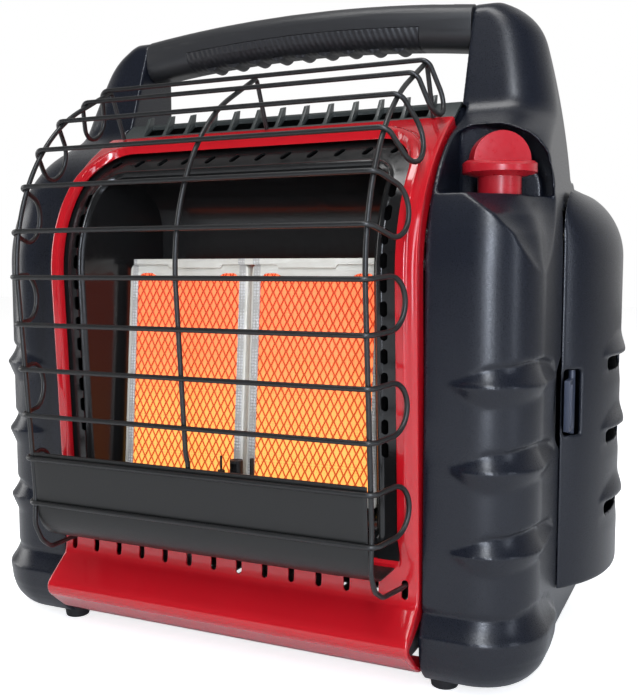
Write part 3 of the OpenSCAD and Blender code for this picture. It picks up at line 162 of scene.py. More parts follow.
def smooth(piece, angle=35):
    pick(piece)
    bpy.ops.object.shade_smooth_by_angle(angle=math.radians(angle))
    return piece


def settle(piece):
    """Moves an object's place, turn and scale into its mesh"""
    pick(piece)
    bpy.ops.object.transform_apply(location=True, rotation=True, scale=True)
    return piece


def box(low, high, name="block"):
    """A block between two corners, in millimetres"""
    low, high = Vector(low) * MM, Vector(high) * MM
    bpy.ops.object.select_all(action="DESELECT")
    bpy.ops.mesh.primitive_cube_add(size=1, location=(low + high) / 2)
    piece = bpy.context.object
    piece.name = name
    piece.scale = high - low
    return settle(piece)


def rod(place, axis, length, radius, name="rod", sides=48):
    """A cylinder that starts at a place and runs along an axis, in millimetres"""
    direction = Vector(axis).normalized()
    middle = (Vector(place) + direction * length / 2) * MM
    bpy.ops.object.select_all(action="DESELECT")
    bpy.ops.mesh.primitive_cone_add(vertices=sides, radius1=radius * MM, radius2=radius * MM,
                                    depth=length * MM, location=middle)
    piece = bpy.context.object
    piece.name = name
    piece.rotation_euler = direction.to_track_quat("Z", "Y").to_euler()
    return settle(piece)


def grid(across, along, name, size=2):
    """A flat grid of cells, whose points are then put in place"""
    bpy.ops.object.select_all(action="DESELECT")
    bpy.ops.mesh.primitive_grid_add(x_subdivisions=across, y_subdivisions=along, size=size)
    piece = bpy.context.object
    piece.name = name
    return piece


def place_points(piece, points):
    """Puts every point of a mesh at its worked-out place, given in millimetres"""
    flat = (np.asarray(points, float).reshape(-1) * MM).astype(np.float32)
    piece.data.vertices.foreach_set("co", flat)
    piece.data.update()
    return piece


def points_of(piece):
    flat = np.empty(len(piece.data.vertices) * 3, np.float32)
    piece.data.vertices.foreach_get("co", flat)
    return flat.reshape(-1, 3) / MM


def copy_of(node, name):
    """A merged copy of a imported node, to be shaped further"""
    piece = nodes[node].copy()
    piece.data = nodes[node].data.copy()
    piece.parent = None
    for key in list(piece.keys()):
        if key.startswith("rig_"):
            del piece[key]
    piece.name = piece.data.name = name
    piece.data.materials.clear()
    bpy.context.scene.collection.objects.link(piece)
    edit(piece, verts=lambda v: True)
    bpy.ops.mesh.remove_doubles(threshold=0.00001)
    leave_edit()
    return piece


def bevelled(piece, width, segments=3, angle=35):
    """Rounds the edges that are sharper than an angle"""
    modify(piece, "BEVEL", width=width * MM, segments=segments, limit_method="ANGLE",
           angle_limit=math.radians(angle), use_clamp_overlap=True)
    return piece


def eased_edges(piece, width, segments):
    """Merges flat faces into one, and rounds the edges between them"""
    edit(piece, faces=lambda f: True)
    bpy.ops.mesh.dissolve_limited(angle_limit=math.radians(1))
    leave_edit()
    bevelled(piece, width, segments)
    modify(piece, "TRIANGULATE")
    return smooth(piece, 40)


MOST_TRIANGLES = 190000


def moulded(piece, grain):
    """Rounds every edge as a mould does: an even fine mesh, relaxed twice"""
    modify(piece, "REMESH", mode="VOXEL", voxel_size=grain * MM, adaptivity=0)
    modify(piece, "SMOOTH", factor=0.5, iterations=2)
    triangles = 2 * len(piece.data.polygons)
    if triangles > MOST_TRIANGLES:
        modify(piece, "DECIMATE", decimate_type="COLLAPSE", ratio=MOST_TRIANGLES / triangles)
    pick(piece)
    bpy.ops.object.shade_smooth()
    return piece


shown = []


def finish_piece(piece, finish, node):
    """Gives a piece its finish and its body, and hides the node that it stands for"""
    piece.data.materials.clear()
    piece.data.materials.append(finish.material)
    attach(piece, body_of[node])
    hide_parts(node)
    shown.append(piece.name)
    print(piece.name, "faces:", len(piece.data.polygons))


def dress(node, name, finish, width=0.5, segments=2):
    """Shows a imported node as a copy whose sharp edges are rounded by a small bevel"""
    finish_piece(eased_edges(copy_of(node, name), width, segments), finish, node)


# %% [markdown]
# ## Finishes
# A finish is a small network of nodes. Sums on the numbers in it read best as ordinary
# sums, so a thin wrapper round a socket turns +, - and * into Math nodes. Patterns
# are laid out on Object coordinates, which are the heater's own metres, so that grain
# and dots keep their real size on every piece.

# %% A wrapper for sockets, and the maker of finishes
class Value:
    def __init__(self, finish, socket):
        self.finish, self.socket = finish, socket

    def sum(self, operation, other):
        return self.finish.node("ShaderNodeMath", {0: self, 1: other}, operation=operation)

    def __add__(self, other):
        return self.sum("ADD", other)

    def __sub__(self, other):
        return self.sum("SUBTRACT", other)

    def __mul__(self, other):
        return self.sum("MULTIPLY", other)


class Finish:
    """One material, made of a Principled surface and the nodes that feed it"""

    def __init__(self, name, colour=(0.5, 0.5, 0.5), **settings):
        self.material = bpy.data.materials.new(name)
        self.material.use_nodes = True
        self.tree = self.material.node_tree
        self.surface = self.tree.nodes["Principled BSDF"]
        self.place = self.node("ShaderNodeTexCoord", out="Object")
        self.set("Base Color", (*colour, 1))
        self.material.diffuse_color = (*colour, 1)
        for name, value in settings.items():
            self.set(name.replace("_", " "), value)

    def node(self, kind, inputs=None, out=0, stops=None, **settings):
        made = self.tree.nodes.new(kind)
        for name, value in settings.items():
            setattr(made, name, value)
        if stops:
            ramp = made.color_ramp
            while len(ramp.elements) < len(stops):
                ramp.elements.new(1)
            for element, (position, colour) in zip(ramp.elements, stops):
                element.position, element.color = position, (*colour, 1)
        for key, value in (inputs or {}).items():
            self.link(value, made.inputs[key])
        return Value(self, made.outputs[out])

    def link(self, value, socket):
        if isinstance(value, Value):
            self.tree.links.new(value.socket, socket)
        else:
            socket.default_value = value

    def set(self, name, value):
        self.link(value, self.surface.inputs[name])

    def noise(self, size_mm, detail=2, rough=0.5):
        return self.node("ShaderNodeTexNoise", {"Vector": self.place, "Scale": 1 / (size_mm * MM),
                                                "Detail": detail, "Roughness": rough})

    def dots(self, size_mm, scatter):
        """Distance from the nearest of many dots that lie a size apart"""
        return self.node("ShaderNodeTexVoronoi", {"Vector": self.place, "Scale": 1 / (size_mm * MM),
                                                  "Randomness": scatter}, out="Distance")

    def axis(self, name):
        return self.node("ShaderNodeSeparateXYZ", {0: self.place}, out=name)

    def between(self, value, low, high, to_low=0.0, to_high=1.0):
        return self.node("ShaderNodeMapRange", {"Value": value, "From Min": low, "From Max": high,
                                                "To Min": to_low, "To Max": to_high},
                         interpolation_type="SMOOTHSTEP")

    def mixed(self, share, first, second):
        first, second = [(*c, 1) if isinstance(c, tuple) and len(c) == 3 else c for c in (first, second)]
        return self.node("ShaderNodeMix", {0: share, 6: first, 7: second}, out=2, data_type="RGBA")

    def bump(self, height, depth_mm, strength=1.0):
        return self.node("ShaderNodeBump", {"Height": height, "Distance": depth_mm * MM,
                                            "Strength": strength})


def plain(name, colour, roughness, metallic=0.0, grain_mm=3.0, change=0.12, rough_change=0.08,
          bump_mm=0.0, **settings):
    """A finish with a little change of colour and gloss over the surface, and a fine bump"""
    finish = Finish(name, colour, Metallic=metallic, **settings)
    cloud = finish.noise(grain_mm * 8, detail=4)
    fine = finish.noise(grain_mm, detail=3)
    darker = tuple(c * (1 - change) for c in colour)
    lighter = tuple(min(1, c * (1 + change)) for c in colour)
    finish.set("Base Color", finish.mixed(cloud, darker, lighter))
    finish.set("Roughness", finish.between(fine, 0.3, 0.7, roughness - rough_change,
                                           roughness + rough_change))
    if bump_mm:
        finish.set("Normal", finish.bump(fine, bump_mm))
    return finish


# %% [markdown]
# ## The finishes of this heater
# The housings are a satin slate-blue moulding with a very fine spark-eroded grain. The
# front panel is red enamel, glossy and slightly uneven as a sprayed coat is. The trim
# and the box round the burners are gloss black enamel, and the wires a duller black.
# Frames and clamps are pale aluminised steel.

# %% Plastics, paints and metals
PLASTIC = plain("slate_plastic", (0.0060, 0.0075, 0.0125), 0.30, grain_mm=0.5, change=0.1,
                rough_change=0.05, bump_mm=0.012)
PLASTIC.set("Specular IOR Level", 0.42)
BLACK_PLASTIC = plain("black_plastic", (0.016, 0.016, 0.017), 0.45, grain_mm=0.5, bump_mm=0.012)
HANDLE = plain("handle_plastic", (0.020, 0.020, 0.021), 0.42, grain_mm=0.6, change=0.08,
               bump_mm=0.012)
GRIP = plain("grip_rubber", (0.011, 0.011, 0.013), 0.5, grain_mm=0.8, bump_mm=0.03)
RIB_PITCH = 4.6
across_ribs = GRIP.axis("X") * 1000 + GRIP.axis("Z") * 380
rib = GRIP.node("ShaderNodeMath", {0: across_ribs * (2 * math.pi / RIB_PITCH)}, operation="SINE")
GRIP.set("Normal", GRIP.bump(rib, 0.25, 0.5))
RUBBER = plain("rubber", (0.012, 0.012, 0.013), 0.62, grain_mm=0.8, bump_mm=0.03)
RED = plain("red_enamel", (0.46, 0.006, 0.012), 0.17, grain_mm=5, change=0.05, rough_change=0.03,
            bump_mm=0.02, Coat_Weight=0.6, Coat_Roughness=0.06)
BLACK = plain("black_enamel", (0.008, 0.008, 0.008), 0.2, grain_mm=5, change=0.1,
              rough_change=0.04, bump_mm=0.02)
WIRE = plain("wire_enamel", (0.010, 0.010, 0.010), 0.38, grain_mm=1, bump_mm=0.02)
SHIELD = plain("shield_enamel", (0.007, 0.007, 0.0065), 0.42, grain_mm=0.7, bump_mm=0.02)
LOUVRE = plain("louvre_enamel", (0.035, 0.040, 0.038), 0.36, grain_mm=1.5, bump_mm=0.015)
PALE_STEEL = plain("pale_steel", (0.52, 0.50, 0.45), 0.42, metallic=0.55, grain_mm=1.2, bump_mm=0.02)
STEEL = plain("steel", (0.55, 0.55, 0.55), 0.3, metallic=1.0, grain_mm=1)
BRASS = plain("brass", (0.66, 0.46, 0.18), 0.3, metallic=1.0, grain_mm=1)
GALVANISED = plain("galvanised", (0.5, 0.51, 0.52), 0.42, metallic=0.9, grain_mm=6, change=0.2)
KNOB_RED = plain("knob_red", (0.40, 0.010, 0.018), 0.3, grain_mm=3, change=0.05, rough_change=0.03)
CERAMIC = plain("white_ceramic", (0.75, 0.72, 0.65), 0.35, grain_mm=2)
GLOW = plain("glow", (0.6, 0.2, 0.05), 0.8, grain_mm=2)
GLOW.set("Emission Color", (1.0, 0.22, 0.03, 1))
GLOW.set("Emission Strength", 1.0)
print("finishes:", len(bpy.data.materials))

# %% [markdown]
# ## Side housings
# Each housing is one large moulding: a round-cornered column beside the front panel, a
# bay for the gas cylinder behind it and a tower that carries the handle. Its outline
# changes with height, so it is skinned over a stack of outlines, as a boat is planked
# over its frames. The skin starts as a plane grid whose points are put on the
# outlines. Bay, pocket and recess are then cut out, and a fine even mesh rounds every
# edge as a mould does.

# %% Outline of a housing at one height
COLUMN_Y, BACK_Y, BASE_Z = -84.4, 138.6, 9.0
SIDE_X, INNER_X, TOWER_X, BAY_X = 202.0, 137.4, 134.0, 123.9
BAY_Y, STEP_Z, TOWER_BACK, TOWER_TOP, ROOF_Z = 8.0, 373.6, 60.5, 447.5, 324.0
LEDGE_Z = 309.5
KNOB = Vector((170.0, -37.4))
REG = Vector((176.5, 82.6))
WALL, GILL_PITCH, CREST_Z = 2.6, 51.0, 41.0
HINGE_X, HINGE_Y = SIDE_X + 1.5, BACK_Y + 4.4
HINGE_ZS, KNUCKLE_H, KNUCKLE_R, KNUCKLE_GAP = (88.0, 262.0), 12.0, 4.0, 0.5


def at_angle(centre, radius, degrees):
    turn = math.radians(degrees)
    return centre[0] + radius * math.cos(turn), centre[1] + radius * math.sin(turn)


def arc(centre, radius, start, end, steps):
    return [at_angle(centre, radius, start + (end - start) * i / steps) for i in range(steps + 1)]


def bent(points, step=2.0, radius=2.0):
    """A folded line resampled in even steps, with every fold rounded"""
    points = np.asarray(points, float)
    along = np.concatenate([[0], np.cumsum(np.linalg.norm(np.diff(points, axis=0), axis=1))])
    count = max(2, round(along[-1] / step))
    at = np.linspace(0, along[-1], 8 * count + 1)
    half = max(1, int(radius / at[1]))
    kernel = np.hanning(2 * half + 3)[1:-1]
    kernel /= kernel.sum()
    columns = [np.interp(at, along, points[:, i]) for i in range(points.shape[1])]
    padded = [np.pad(column, half, mode="reflect", reflect_type="odd") for column in columns]
    line = np.column_stack([np.convolve(column, kernel, "valid") for column in padded])
    return line[::8]


def profile(points):
    """A curve through points as a function of the second coordinate"""
    first, second = zip(*points)
    return lambda at: float(np.interp(at, second, first))


# Side view: column, shoulder, neck, tower face and brow. Front view: flank and crest
SHOULDER_R, NECK_R, BROW_R, FLANK_R, CREST_R = 102.0, 25.0, 14.0, 588.0, 43.0
SHOULDER_SLOPE, TOWER_SLOPE, FLANK_TURN = math.radians(28), math.radians(70), 15.0
neck_turn = NECK_R * math.tan((TOWER_SLOPE - SHOULDER_SLOPE) / 2)
neck_foot = (COLUMN_Y + 84.6, 368.3)
neck_centre = (neck_foot[0] - neck_turn * math.cos(SHOULDER_SLOPE) - NECK_R * math.sin(SHOULDER_SLOPE),
               neck_foot[1] - neck_turn * math.sin(SHOULDER_SLOPE) + NECK_R * math.cos(SHOULDER_SLOPE))
brow_z = TOWER_TOP - BROW_R
brow_y = neck_foot[0] + (brow_z - neck_foot[1]) / math.tan(TOWER_SLOPE) + BROW_R / math.sin(TOWER_SLOPE)
front_y = profile([(COLUMN_Y, 0)] + arc((COLUMN_Y + SHOULDER_R, 262), SHOULDER_R, 180, 118, 40)
                  + arc(neck_centre, NECK_R, -62, -20, 16) + arc((brow_y, brow_z), BROW_R, 160, 91, 16))
flank_centre = (SIDE_X - FLANK_R, TOWER_TOP - 182.5)
crest_centre = at_angle(flank_centre, FLANK_R - CREST_R, FLANK_TURN)
outer_x = profile([(SIDE_X, 0)] + arc(flank_centre, FLANK_R, 0, FLANK_TURN, 30)
                  + arc(crest_centre, CREST_R, FLANK_TURN, 88, 24))
back_of_tower = profile([(TOWER_BACK, 0)] + arc((TOWER_BACK - 12, TOWER_TOP - 12), 12, 0, 88, 12))
roof_x = profile([(SIDE_X, 0)] + arc((179, 272), 52, 63.7, 88, 10))
corner_radius = profile([(38, 0), (38, 262), (36, 300), (34, 330), (32, 352),
                         (30, 376), (28, 420), (22, 448)])
HOOD_TOPS = [195 - GILL_PITCH * k for k in range(3)]
# Lengths along the outline of a gill are counted from its tip at this X
TIP_X, FAR_ALONG = 153.0, 400


def eased(stops, values, most=120.0):
    """A smooth curve through stops along the column's outline"""
    fine = np.arange(0, most + 0.1, 0.5)
    line = np.interp(fine, stops, values)
    kernel = np.hanning(15) / np.hanning(15).sum()
    line = np.convolve(np.pad(line, 7, mode="edge"), kernel, "valid")
    return lambda at: float(np.interp(at, fine, line, left=0, right=0))


ALONG = (0, 5, 12, 20, 26, 36, 50, 62, 82, 98, 107, 114, 120)
gill_rise = eased(ALONG, (0, 1.4, 6.7, 10.7, 12.4, 13, 14.8, 15.8, 14, 11.3, 7.0, 0, 0))
gill_drop = eased(ALONG, (0, 5.0, 9.4, 11.8, 12.6, 12.1, 9.5, 7.2, 4.6, 2.8, 1.5, 0, 0))
gill_proud = eased(ALONG, (0, 1.6, 3.4, 4.4, 4.8, 4.8, 4.1, 3.2, 1.9, 1.0, 0.4, 0, 0))
gill_hollow = eased(ALONG, (0, 0, 0.5, 1.0, 1.4, 2.0, 2.9, 3.3, 3.3, 2.6, 1.5, 0, 0))
crease_z = profile([(56, -200), (56, 20), (55.6, 30), (57.5, 45), (60.5, 62), (59, 80), (54, 98), (44, 110)])
flare_share = profile([(1, -200), (1, 90), (0.85, 100), (0.4, 111), (0, 120), (0, 400)])


def gill(along, z):
    """How far a gill stands out: straight below its ridge, hollow above it"""
    for top in HOOD_TOPS:
        rise, drop = gill_rise(along), gill_drop(along)
        if 0 <= z - top < rise:
            up = (z - top) / rise
            out, dip = gill_proud(along), gill_hollow(along)
            return (-dip + (out + dip) * (1 - up) ** 1.7) * min(1, (1 - up) * 14)
        if 0 < top - z < drop:
            return gill_proud(along) * (1 - (top - z) / drop)
    return 0.0


def foot(along, z):
    """The flared foot: a hollow above its crest at 41 mm, a band and an undercut below"""
    share, crease = float(flare_share(along)), float(crease_z(along))
    under = float(np.interp(z, (9, 11, 14, 18, 22, 25), (-9, -6.6, -4.2, -2.0, -0.6, 0)))
    if z <= CREST_Z:
        flare = np.interp(z, (9, 18, 27, 27.6, 39, CREST_Z), (1.5, 3.6, 4.6, 5.2, 6.5, 6.5))
        return under + share * float(flare)
    if z < crease:
        up = (z - CREST_Z) / (crease - CREST_Z)
        return share * (-1.2 + 7.7 * (1 - up) ** 1.8) * min(1, (1 - up) * 12)
    return 0.0


def housing_outline(z, back, inner=110):
    """Points round a housing at one height, from its front inner corner round to the back"""
    front, width = float(front_y(z)), outer_x(z)
    radius = min(corner_radius(z), back - front - 9, width - inner - 4)
    back_radius = 8 if back > 100 else min(13, (back - front) / 2 - 0.5)
    rows = [(x, front, 0, -1, x - TIP_X) for x in np.linspace(inner, width - radius, 26)[:-1]]
    rows += [(x, y, math.cos(math.radians(a)), math.sin(math.radians(a)),
              width - radius - TIP_X + radius * math.radians(a + 90))
             for (x, y), a in zip(arc((width - radius, front + radius), radius, -90, 0, 44),
                                  np.linspace(-90, 0, 45))]
    turn_end = width - radius - TIP_X + radius * math.pi / 2
    rows += [(width, y, 1, 0, turn_end + y - front - radius)
             for y in np.linspace(front + radius, back - back_radius, 62)[1:-1]]
    rows += [(x, y, (x - width + back_radius) / back_radius,
              (y - back + back_radius) / back_radius, FAR_ALONG)
             for x, y in arc((width - back_radius, back - back_radius), back_radius, 0, 90, 10)]
    rows += [(inner, back, 0, 1, FAR_ALONG)]
    outline = []
    for x, y, out_x, out_y, along in rows:
        out = foot(along, z)
        if 62 < z < 215 and 0 <= along <= 120:
            out += gill(along, z)
        if y > TOWER_BACK + 4:
            x = min(x, roof_x(z) - width + x)
        outline.append((x + out_x * out, y + out_y * out, z))
    return outline


def skin(rows, name):
    """A closed solid over a stack of outlines with as many points each, in millimetres"""
    rows = np.asarray(rows, float)
    rows = np.concatenate([rows, rows[:, :1]], axis=1)
    count, around = rows.shape[:2]
    piece = place_points(grid(around - 1, count - 1, name), rows)
    clean(piece, 0.00001)
    edit(piece, edges=lambda e: e.is_boundary)
    bpy.ops.mesh.edge_face_add()
    bpy.ops.mesh.select_all(action="SELECT")
    bpy.ops.mesh.normals_make_consistent(inside=False)
    leave_edit()
    return piece


def stack(low, high, steps, extra=()):
    return sorted(set(np.round(np.concatenate([np.linspace(low, high, steps), extra]), 4)))


# %% One housing, with its bay and its inner faces
gill_rows = [z for top in HOOD_TOPS for z in list(np.linspace(top - 13.2, top - 0.01, 14))
             + list(np.linspace(top, top + 16.4, 20))]
heights = stack(BASE_Z, TOWER_TOP - 0.05, 120, gill_rows + list(np.linspace(9, 62, 38)) + [27, 27.6, 41]
                + list(np.linspace(318.5, ROOF_Z, 8)) + list(np.linspace(440, 447.4, 14)))
housing = skin([housing_outline(z, BACK_Y) for z in heights if z <= ROOF_Z]
               + [housing_outline(max(z, ROOF_Z + 0.02), back_of_tower(z))
                  for z in heights if z >= ROOF_Z],
               "housing")
housing = cut(housing,
              box((90, -130, 0), (INNER_X, BAY_Y, STEP_Z)),
              box((90, BAY_Y - 1, 0), (BAY_X, 150, STEP_Z)),
              box((90, -130, STEP_Z - 1), (TOWER_X, 150, 470)),
              box((BAY_X + WALL, BAY_Y + WALL, 50), (240, BACK_Y - WALL, 303)),
              box((SIDE_X - 1.4, BAY_Y - 12, 153), (240, BAY_Y + 3.6, 197)),
              rod((SIDE_X - 2.6, BAY_Y + 11, 175), (1, 0, 0), 20, 31, "finger_scoop", 96),
              rod((REG.x, REG.y, 0), (0, 0, 1), 52, 16, "floor_vent", 64))


def knuckle(z):
    return rod((HINGE_X, HINGE_Y, z), (0, 0, 1), KNUCKLE_H, KNUCKLE_R, "knuckle", 40)


ears = []
for middle in HINGE_ZS:
    for side in (-1, 1):
        z = middle + side * (KNUCKLE_H + KNUCKLE_GAP) - KNUCKLE_H / 2
        root = box((SIDE_X - 8, BACK_Y - 2.2, z), (SIDE_X - 0.6, HINGE_Y, z + KNUCKLE_H))
        ears.append(cut(knuckle(z), root, how="UNION"))
housing = cut(housing, join(*ears), how="UNION")
print("housing faces before its edges are rounded:", len(housing.data.polygons))

# %% [markdown]
# The right housing has a round-topped pocket that looks out forwards and to the side,
# with the knob on its ledge and a hollow facet below. The left housing is the mirror
# image without them.

# %% The knob's pocket, and the two housings
def turned(piece, degrees, centre):
    """Turns a mesh about an upright line through a place, in millimetres"""
    middle = Matrix.Translation(Vector(centre) * MM)
    piece.data.transform(middle @ Matrix.Rotation(math.radians(degrees), 4, "Z") @ middle.inverted())
    return piece


def mirrored(piece, name):
    other = piece.copy()
    other.data = piece.data.copy()
    other.name = other.data.name = name
    bpy.context.scene.collection.objects.link(other)
    other.data.transform(Matrix.Scale(-1, 4, (1, 0, 0)))
    return clean(other, 0.0000001)


left_housing = mirrored(housing, "left_housing_skin")
arch = bent([(37, 0), (36, 12), (30, 26), (20, 38), (7, 45.5), (-5, 47), (-14, 45.5), (-25, 39),
             (-34, 28), (-40, 14), (-43.5, 0)], 2.0, 4)
arch = [(w, max(0, z)) for w, z in arch]
pocket = skin([[(KNOB.x + out, KNOB.y + w, LEDGE_Z + z) for w, z in arch] for out in (-27, 83)], "pocket")
turned(pocket, -60, (KNOB.x, KNOB.y, 0))
cut(pocket, box((60, -150, 290), (INNER_X + 3, 60, 400)))

# The facet is a hollow under the ledge. At each height a chord cuts the corner off, and
# a soft ridge stands out of it below the knob's collar
FACET_FOOT, FACET_REACH, FACET_DEPTH = 260.6, 30, 1.6
RIDGE, RIDGE_AT, RIDGE_WIDTH = 0.21, 0.46, 0.22
LEFT_END = ((157.6, -72.6, 309.5), (176.2, -77.2, 296.4), (187.5, -75.0, 284.7), (195.6, -67.0, 270.9),
            (200.6, -57.0, 262.5), (201.2, -54.5, 260.5))
RIGHT_END = ((202.0, -9.0, 309.5), (202.0, -13.0, 298), (202.0, -20.4, 286.4), (202.0, -30.0, 275),
             (202.0, -41.0, 267), (202.0, -50.0, 262.5), (201.6, -53.5, 260.5))


def chord_end(stops, z):
    xs, ys, zs = zip(*stops[::-1])
    return Vector((float(np.interp(z, zs, xs)), float(np.interp(z, zs, ys))))


facet_rows = []
for z in np.linspace(FACET_FOOT, LEDGE_Z, 40):
    left, right = chord_end(LEFT_END, z), chord_end(RIGHT_END, z)
    along = (right - left).normalized() * FACET_REACH
    outward = Vector((along.y, -along.x))
    ridge = RIDGE * (z - FACET_FOOT) / (LEDGE_Z - FACET_FOOT)
    chord = [left + (right - left) * t + outward * ridge * math.exp(-((t - RIDGE_AT) / RIDGE_WIDTH) ** 2)
             for t in np.linspace(0, 1, 21)]
    corners = [left - along] + chord + [right + along, right + along + outward * FACET_DEPTH,
                                        left - along + outward * FACET_DEPTH]
    facet_rows.append([(c.x, c.y, z) for c in corners])
facet = skin(facet_rows, "facet")
well = rod((KNOB.x, KNOB.y, LEDGE_Z - 12), (0, 0, 1), 20, 13.9, "well", 64)
right_housing = cut(housing, pocket, facet, well)
right_housing.name = "right_housing_skin"
for piece in (right_housing, left_housing):
    moulded(piece, 1.35)
finish_piece(right_housing, PLASTIC, "right_housing")
finish_piece(left_housing, PLASTIC, "left_housing")

# %% [markdown]
# ## Folded sheets
# Panel, trim and shield are sheets with soft folds. A folded line is drawn in the side
# view and resampled, which rounds its folds. A plane grid is then laid along the line
# and across the heater, raised where the press raised the real sheet, and thickened by
# a Solidify modifier. Openings are cut through the thickened sheet.

# %% Folded lines, sheets and punched ovals
def left_of(line):
    """Unit directions square to a line in the side view, to its left"""
    along = np.gradient(line, axis=0)
    along /= np.linalg.norm(along, axis=1)[:, None]
    return np.column_stack([-along[:, 1], along[:, 0]])


def folded_sheet(line, across, name, raised=None, thickness=1.2):
    """A sheet along a side-view line; across lists pairs of a place and how far it is folded back"""
    outward = left_of(line)
    xs = np.array([x for x, back in across])
    backs = np.array([back for x, back in across])
    grid_x = np.repeat(xs[None], len(line), axis=0)
    grid_y = np.repeat(line[:, :1], len(xs), axis=1)
    grid_z = np.repeat(line[:, 1:], len(xs), axis=1)
    rise = raised(grid_x, grid_y, grid_z) if raised else 0
    # The folded edge is shallower round the tight nose of the lip
    depth = np.interp(line[:, 1], (20, 34, 60), (3.0, 4.0, 12))[:, None]
    rise = rise - np.where(backs > 1.8, 1.8 + (backs - 1.8) * (depth - 1.8) / 10.2, backs)
    rows = np.stack([grid_x, grid_y + outward[:, :1] * rise, grid_z + outward[:, 1:] * rise], axis=2)
    piece = place_points(grid(len(xs) - 1, len(line) - 1, name), rows)
    return modify(piece, "SOLIDIFY", thickness=thickness * MM, offset=-1, use_even_offset=True)


def oval(place, axis, along, width, length, depth, name="oval"):
    """A punch with round ends, in millimetres"""
    tool = rod((0, 0, -depth / 2), (0, 0, 1), depth, width / 2, name, 24)
    tool.data.transform(Matrix.Rotation(math.radians(7.5), 4, "Z"))
    points = points_of(tool)
    points[:, 1] += np.where(points[:, 1] > 0, 1, -1) * (length - width) / 2
    place_points(tool, points)
    axis, along = Vector(axis).normalized(), Vector(along).normalized()
    turn = Matrix([along.cross(axis), along, axis]).transposed().to_4x4()
    tool.data.transform(Matrix.Translation(Vector(place) * MM) @ turn)
    return tool


def window_line(width, low, high, radius, steps=60):
    """The outline of a window with round upper corners, in the front view"""
    half = width / 2
    right = arc((half - radius, high - radius), radius, 0, 90, 16)
    points = [(half, z) for z in np.linspace(low, high - radius, steps)] + right
    points += [(x, high) for x in np.linspace(half - radius, 0, steps)]
    return np.array(points)


def window_distance(width, low, high, radius, line):
    """How far a place on the sheet is from a window's edge, negative inside"""
    edge = window_line(width, low, high, radius)
    on_sheet = np.column_stack([edge[:, 0], np.interp(edge[:, 1], line[:, 1], line[:, 0]), edge[:, 1]])
    start, run = on_sheet[:-1], np.diff(on_sheet, axis=0)
    real = (run ** 2).sum(axis=1) > 1e-9
    start, run = start[real], run[real]
    run_squared = (run ** 2).sum(axis=1)

    def distance(x, y, z):
        places = np.stack([np.abs(x), y, z], axis=-1).reshape(-1, 3)
        nearest = []
        for part in np.array_split(places, 60):
            away = part[:, None] - start[None]
            share = np.clip((away * run).sum(axis=2) / run_squared, 0, 1)
            nearest.append(np.sqrt(((away - share[:, :, None] * run) ** 2).sum(axis=2)).min(axis=1))
        nearest = np.concatenate(nearest)
        half = width / 2
        corner = (np.abs(x) > half - radius) & (z > high - radius)
        round_out = np.hypot(np.abs(x) - half + radius, z - high + radius) > radius
        outside = (np.abs(x) > half) | (z > high) | (corner & round_out)
        return nearest.reshape(x.shape) * np.where(outside, 1, -1)
    return distance


def window_punch(width, low, high, radius, name):
    edge = window_line(width, low, high, radius, 8)
    outline = np.vstack([edge, edge[::-1] * [-1, 1]])
    return skin([[(x, y, z) for x, z in outline] for y in (-125, 40)], name)


def eased_step(value, low, high):
    share = np.clip((value - low) / (high - low), 0, 1)
    return share * share * (3 - 2 * share)


# %% [markdown]
# ## Front panel
# The red panel is pressed from one sheet: a rolled lip at the foot, a dull band with
# slots, and a face that bends back over the burners. Round the window the press left
# a flat bezel that stands proud, with a slope down to the panel's folded side edges.

# %% Red front panel
PANEL_Y, LIP_Y = COLUMN_Y - 10.5, COLUMN_Y - 22.5
LEAN = 2.9
BAND_Y = PANEL_Y + 191 * math.tan(math.radians(LEAN))
PANEL_HALF, SLOT_PITCH = 136.0, 19.55
BEZEL, PANEL_ROLL = 5.5, 3.6
WINDOW = (246, 84, 347, 26)
BEND_R, CROWN_R, BEND_END, CROWN_END = 90, 170, 142, 118
face_lean, crown_lean = math.radians(LEAN), math.radians(BEND_END)
bend_centre = np.array([PANEL_Y + BEND_R * math.cos(face_lean), 257 + BEND_R * math.sin(face_lean)])
crown_centre = bend_centre - (CROWN_R - BEND_R) * np.array([math.cos(crown_lean), math.sin(crown_lean)])
face_line = ([(BAND_Y, 66)] + arc(bend_centre, BEND_R, 180 + LEAN, BEND_END, 30)
             + arc(crown_centre, CROWN_R, BEND_END, CROWN_END, 24)[1:])
lip_line = ([(LIP_Y + 48, 13), (LIP_Y + 27, 13), (LIP_Y + 17, 18.5)]
            + arc((LIP_Y + 8, 37), 8, 225, 138, 10) + [(BAND_Y - 1.5, 57.5)])
panel_line = bent(lip_line + face_line, 2.0, 1.75)
upper_line = panel_line[panel_line[:, 1] > 58]
from_window = window_distance(*WINDOW, upper_line)


def panel_raised(x, y, z):
    away = from_window(x, y, z)
    fade = eased_step(z, 84, 104)
    bezel = BEZEL * eased_step(-away, -12.4, -6.2)
    rolled = PANEL_ROLL * np.clip(1 - away / 1.8, 0, 1) ** 2
    return np.where(z > 66, (bezel - rolled) * fade - rolled * (1 - fade) * (z > 82) * 0.5, 0)


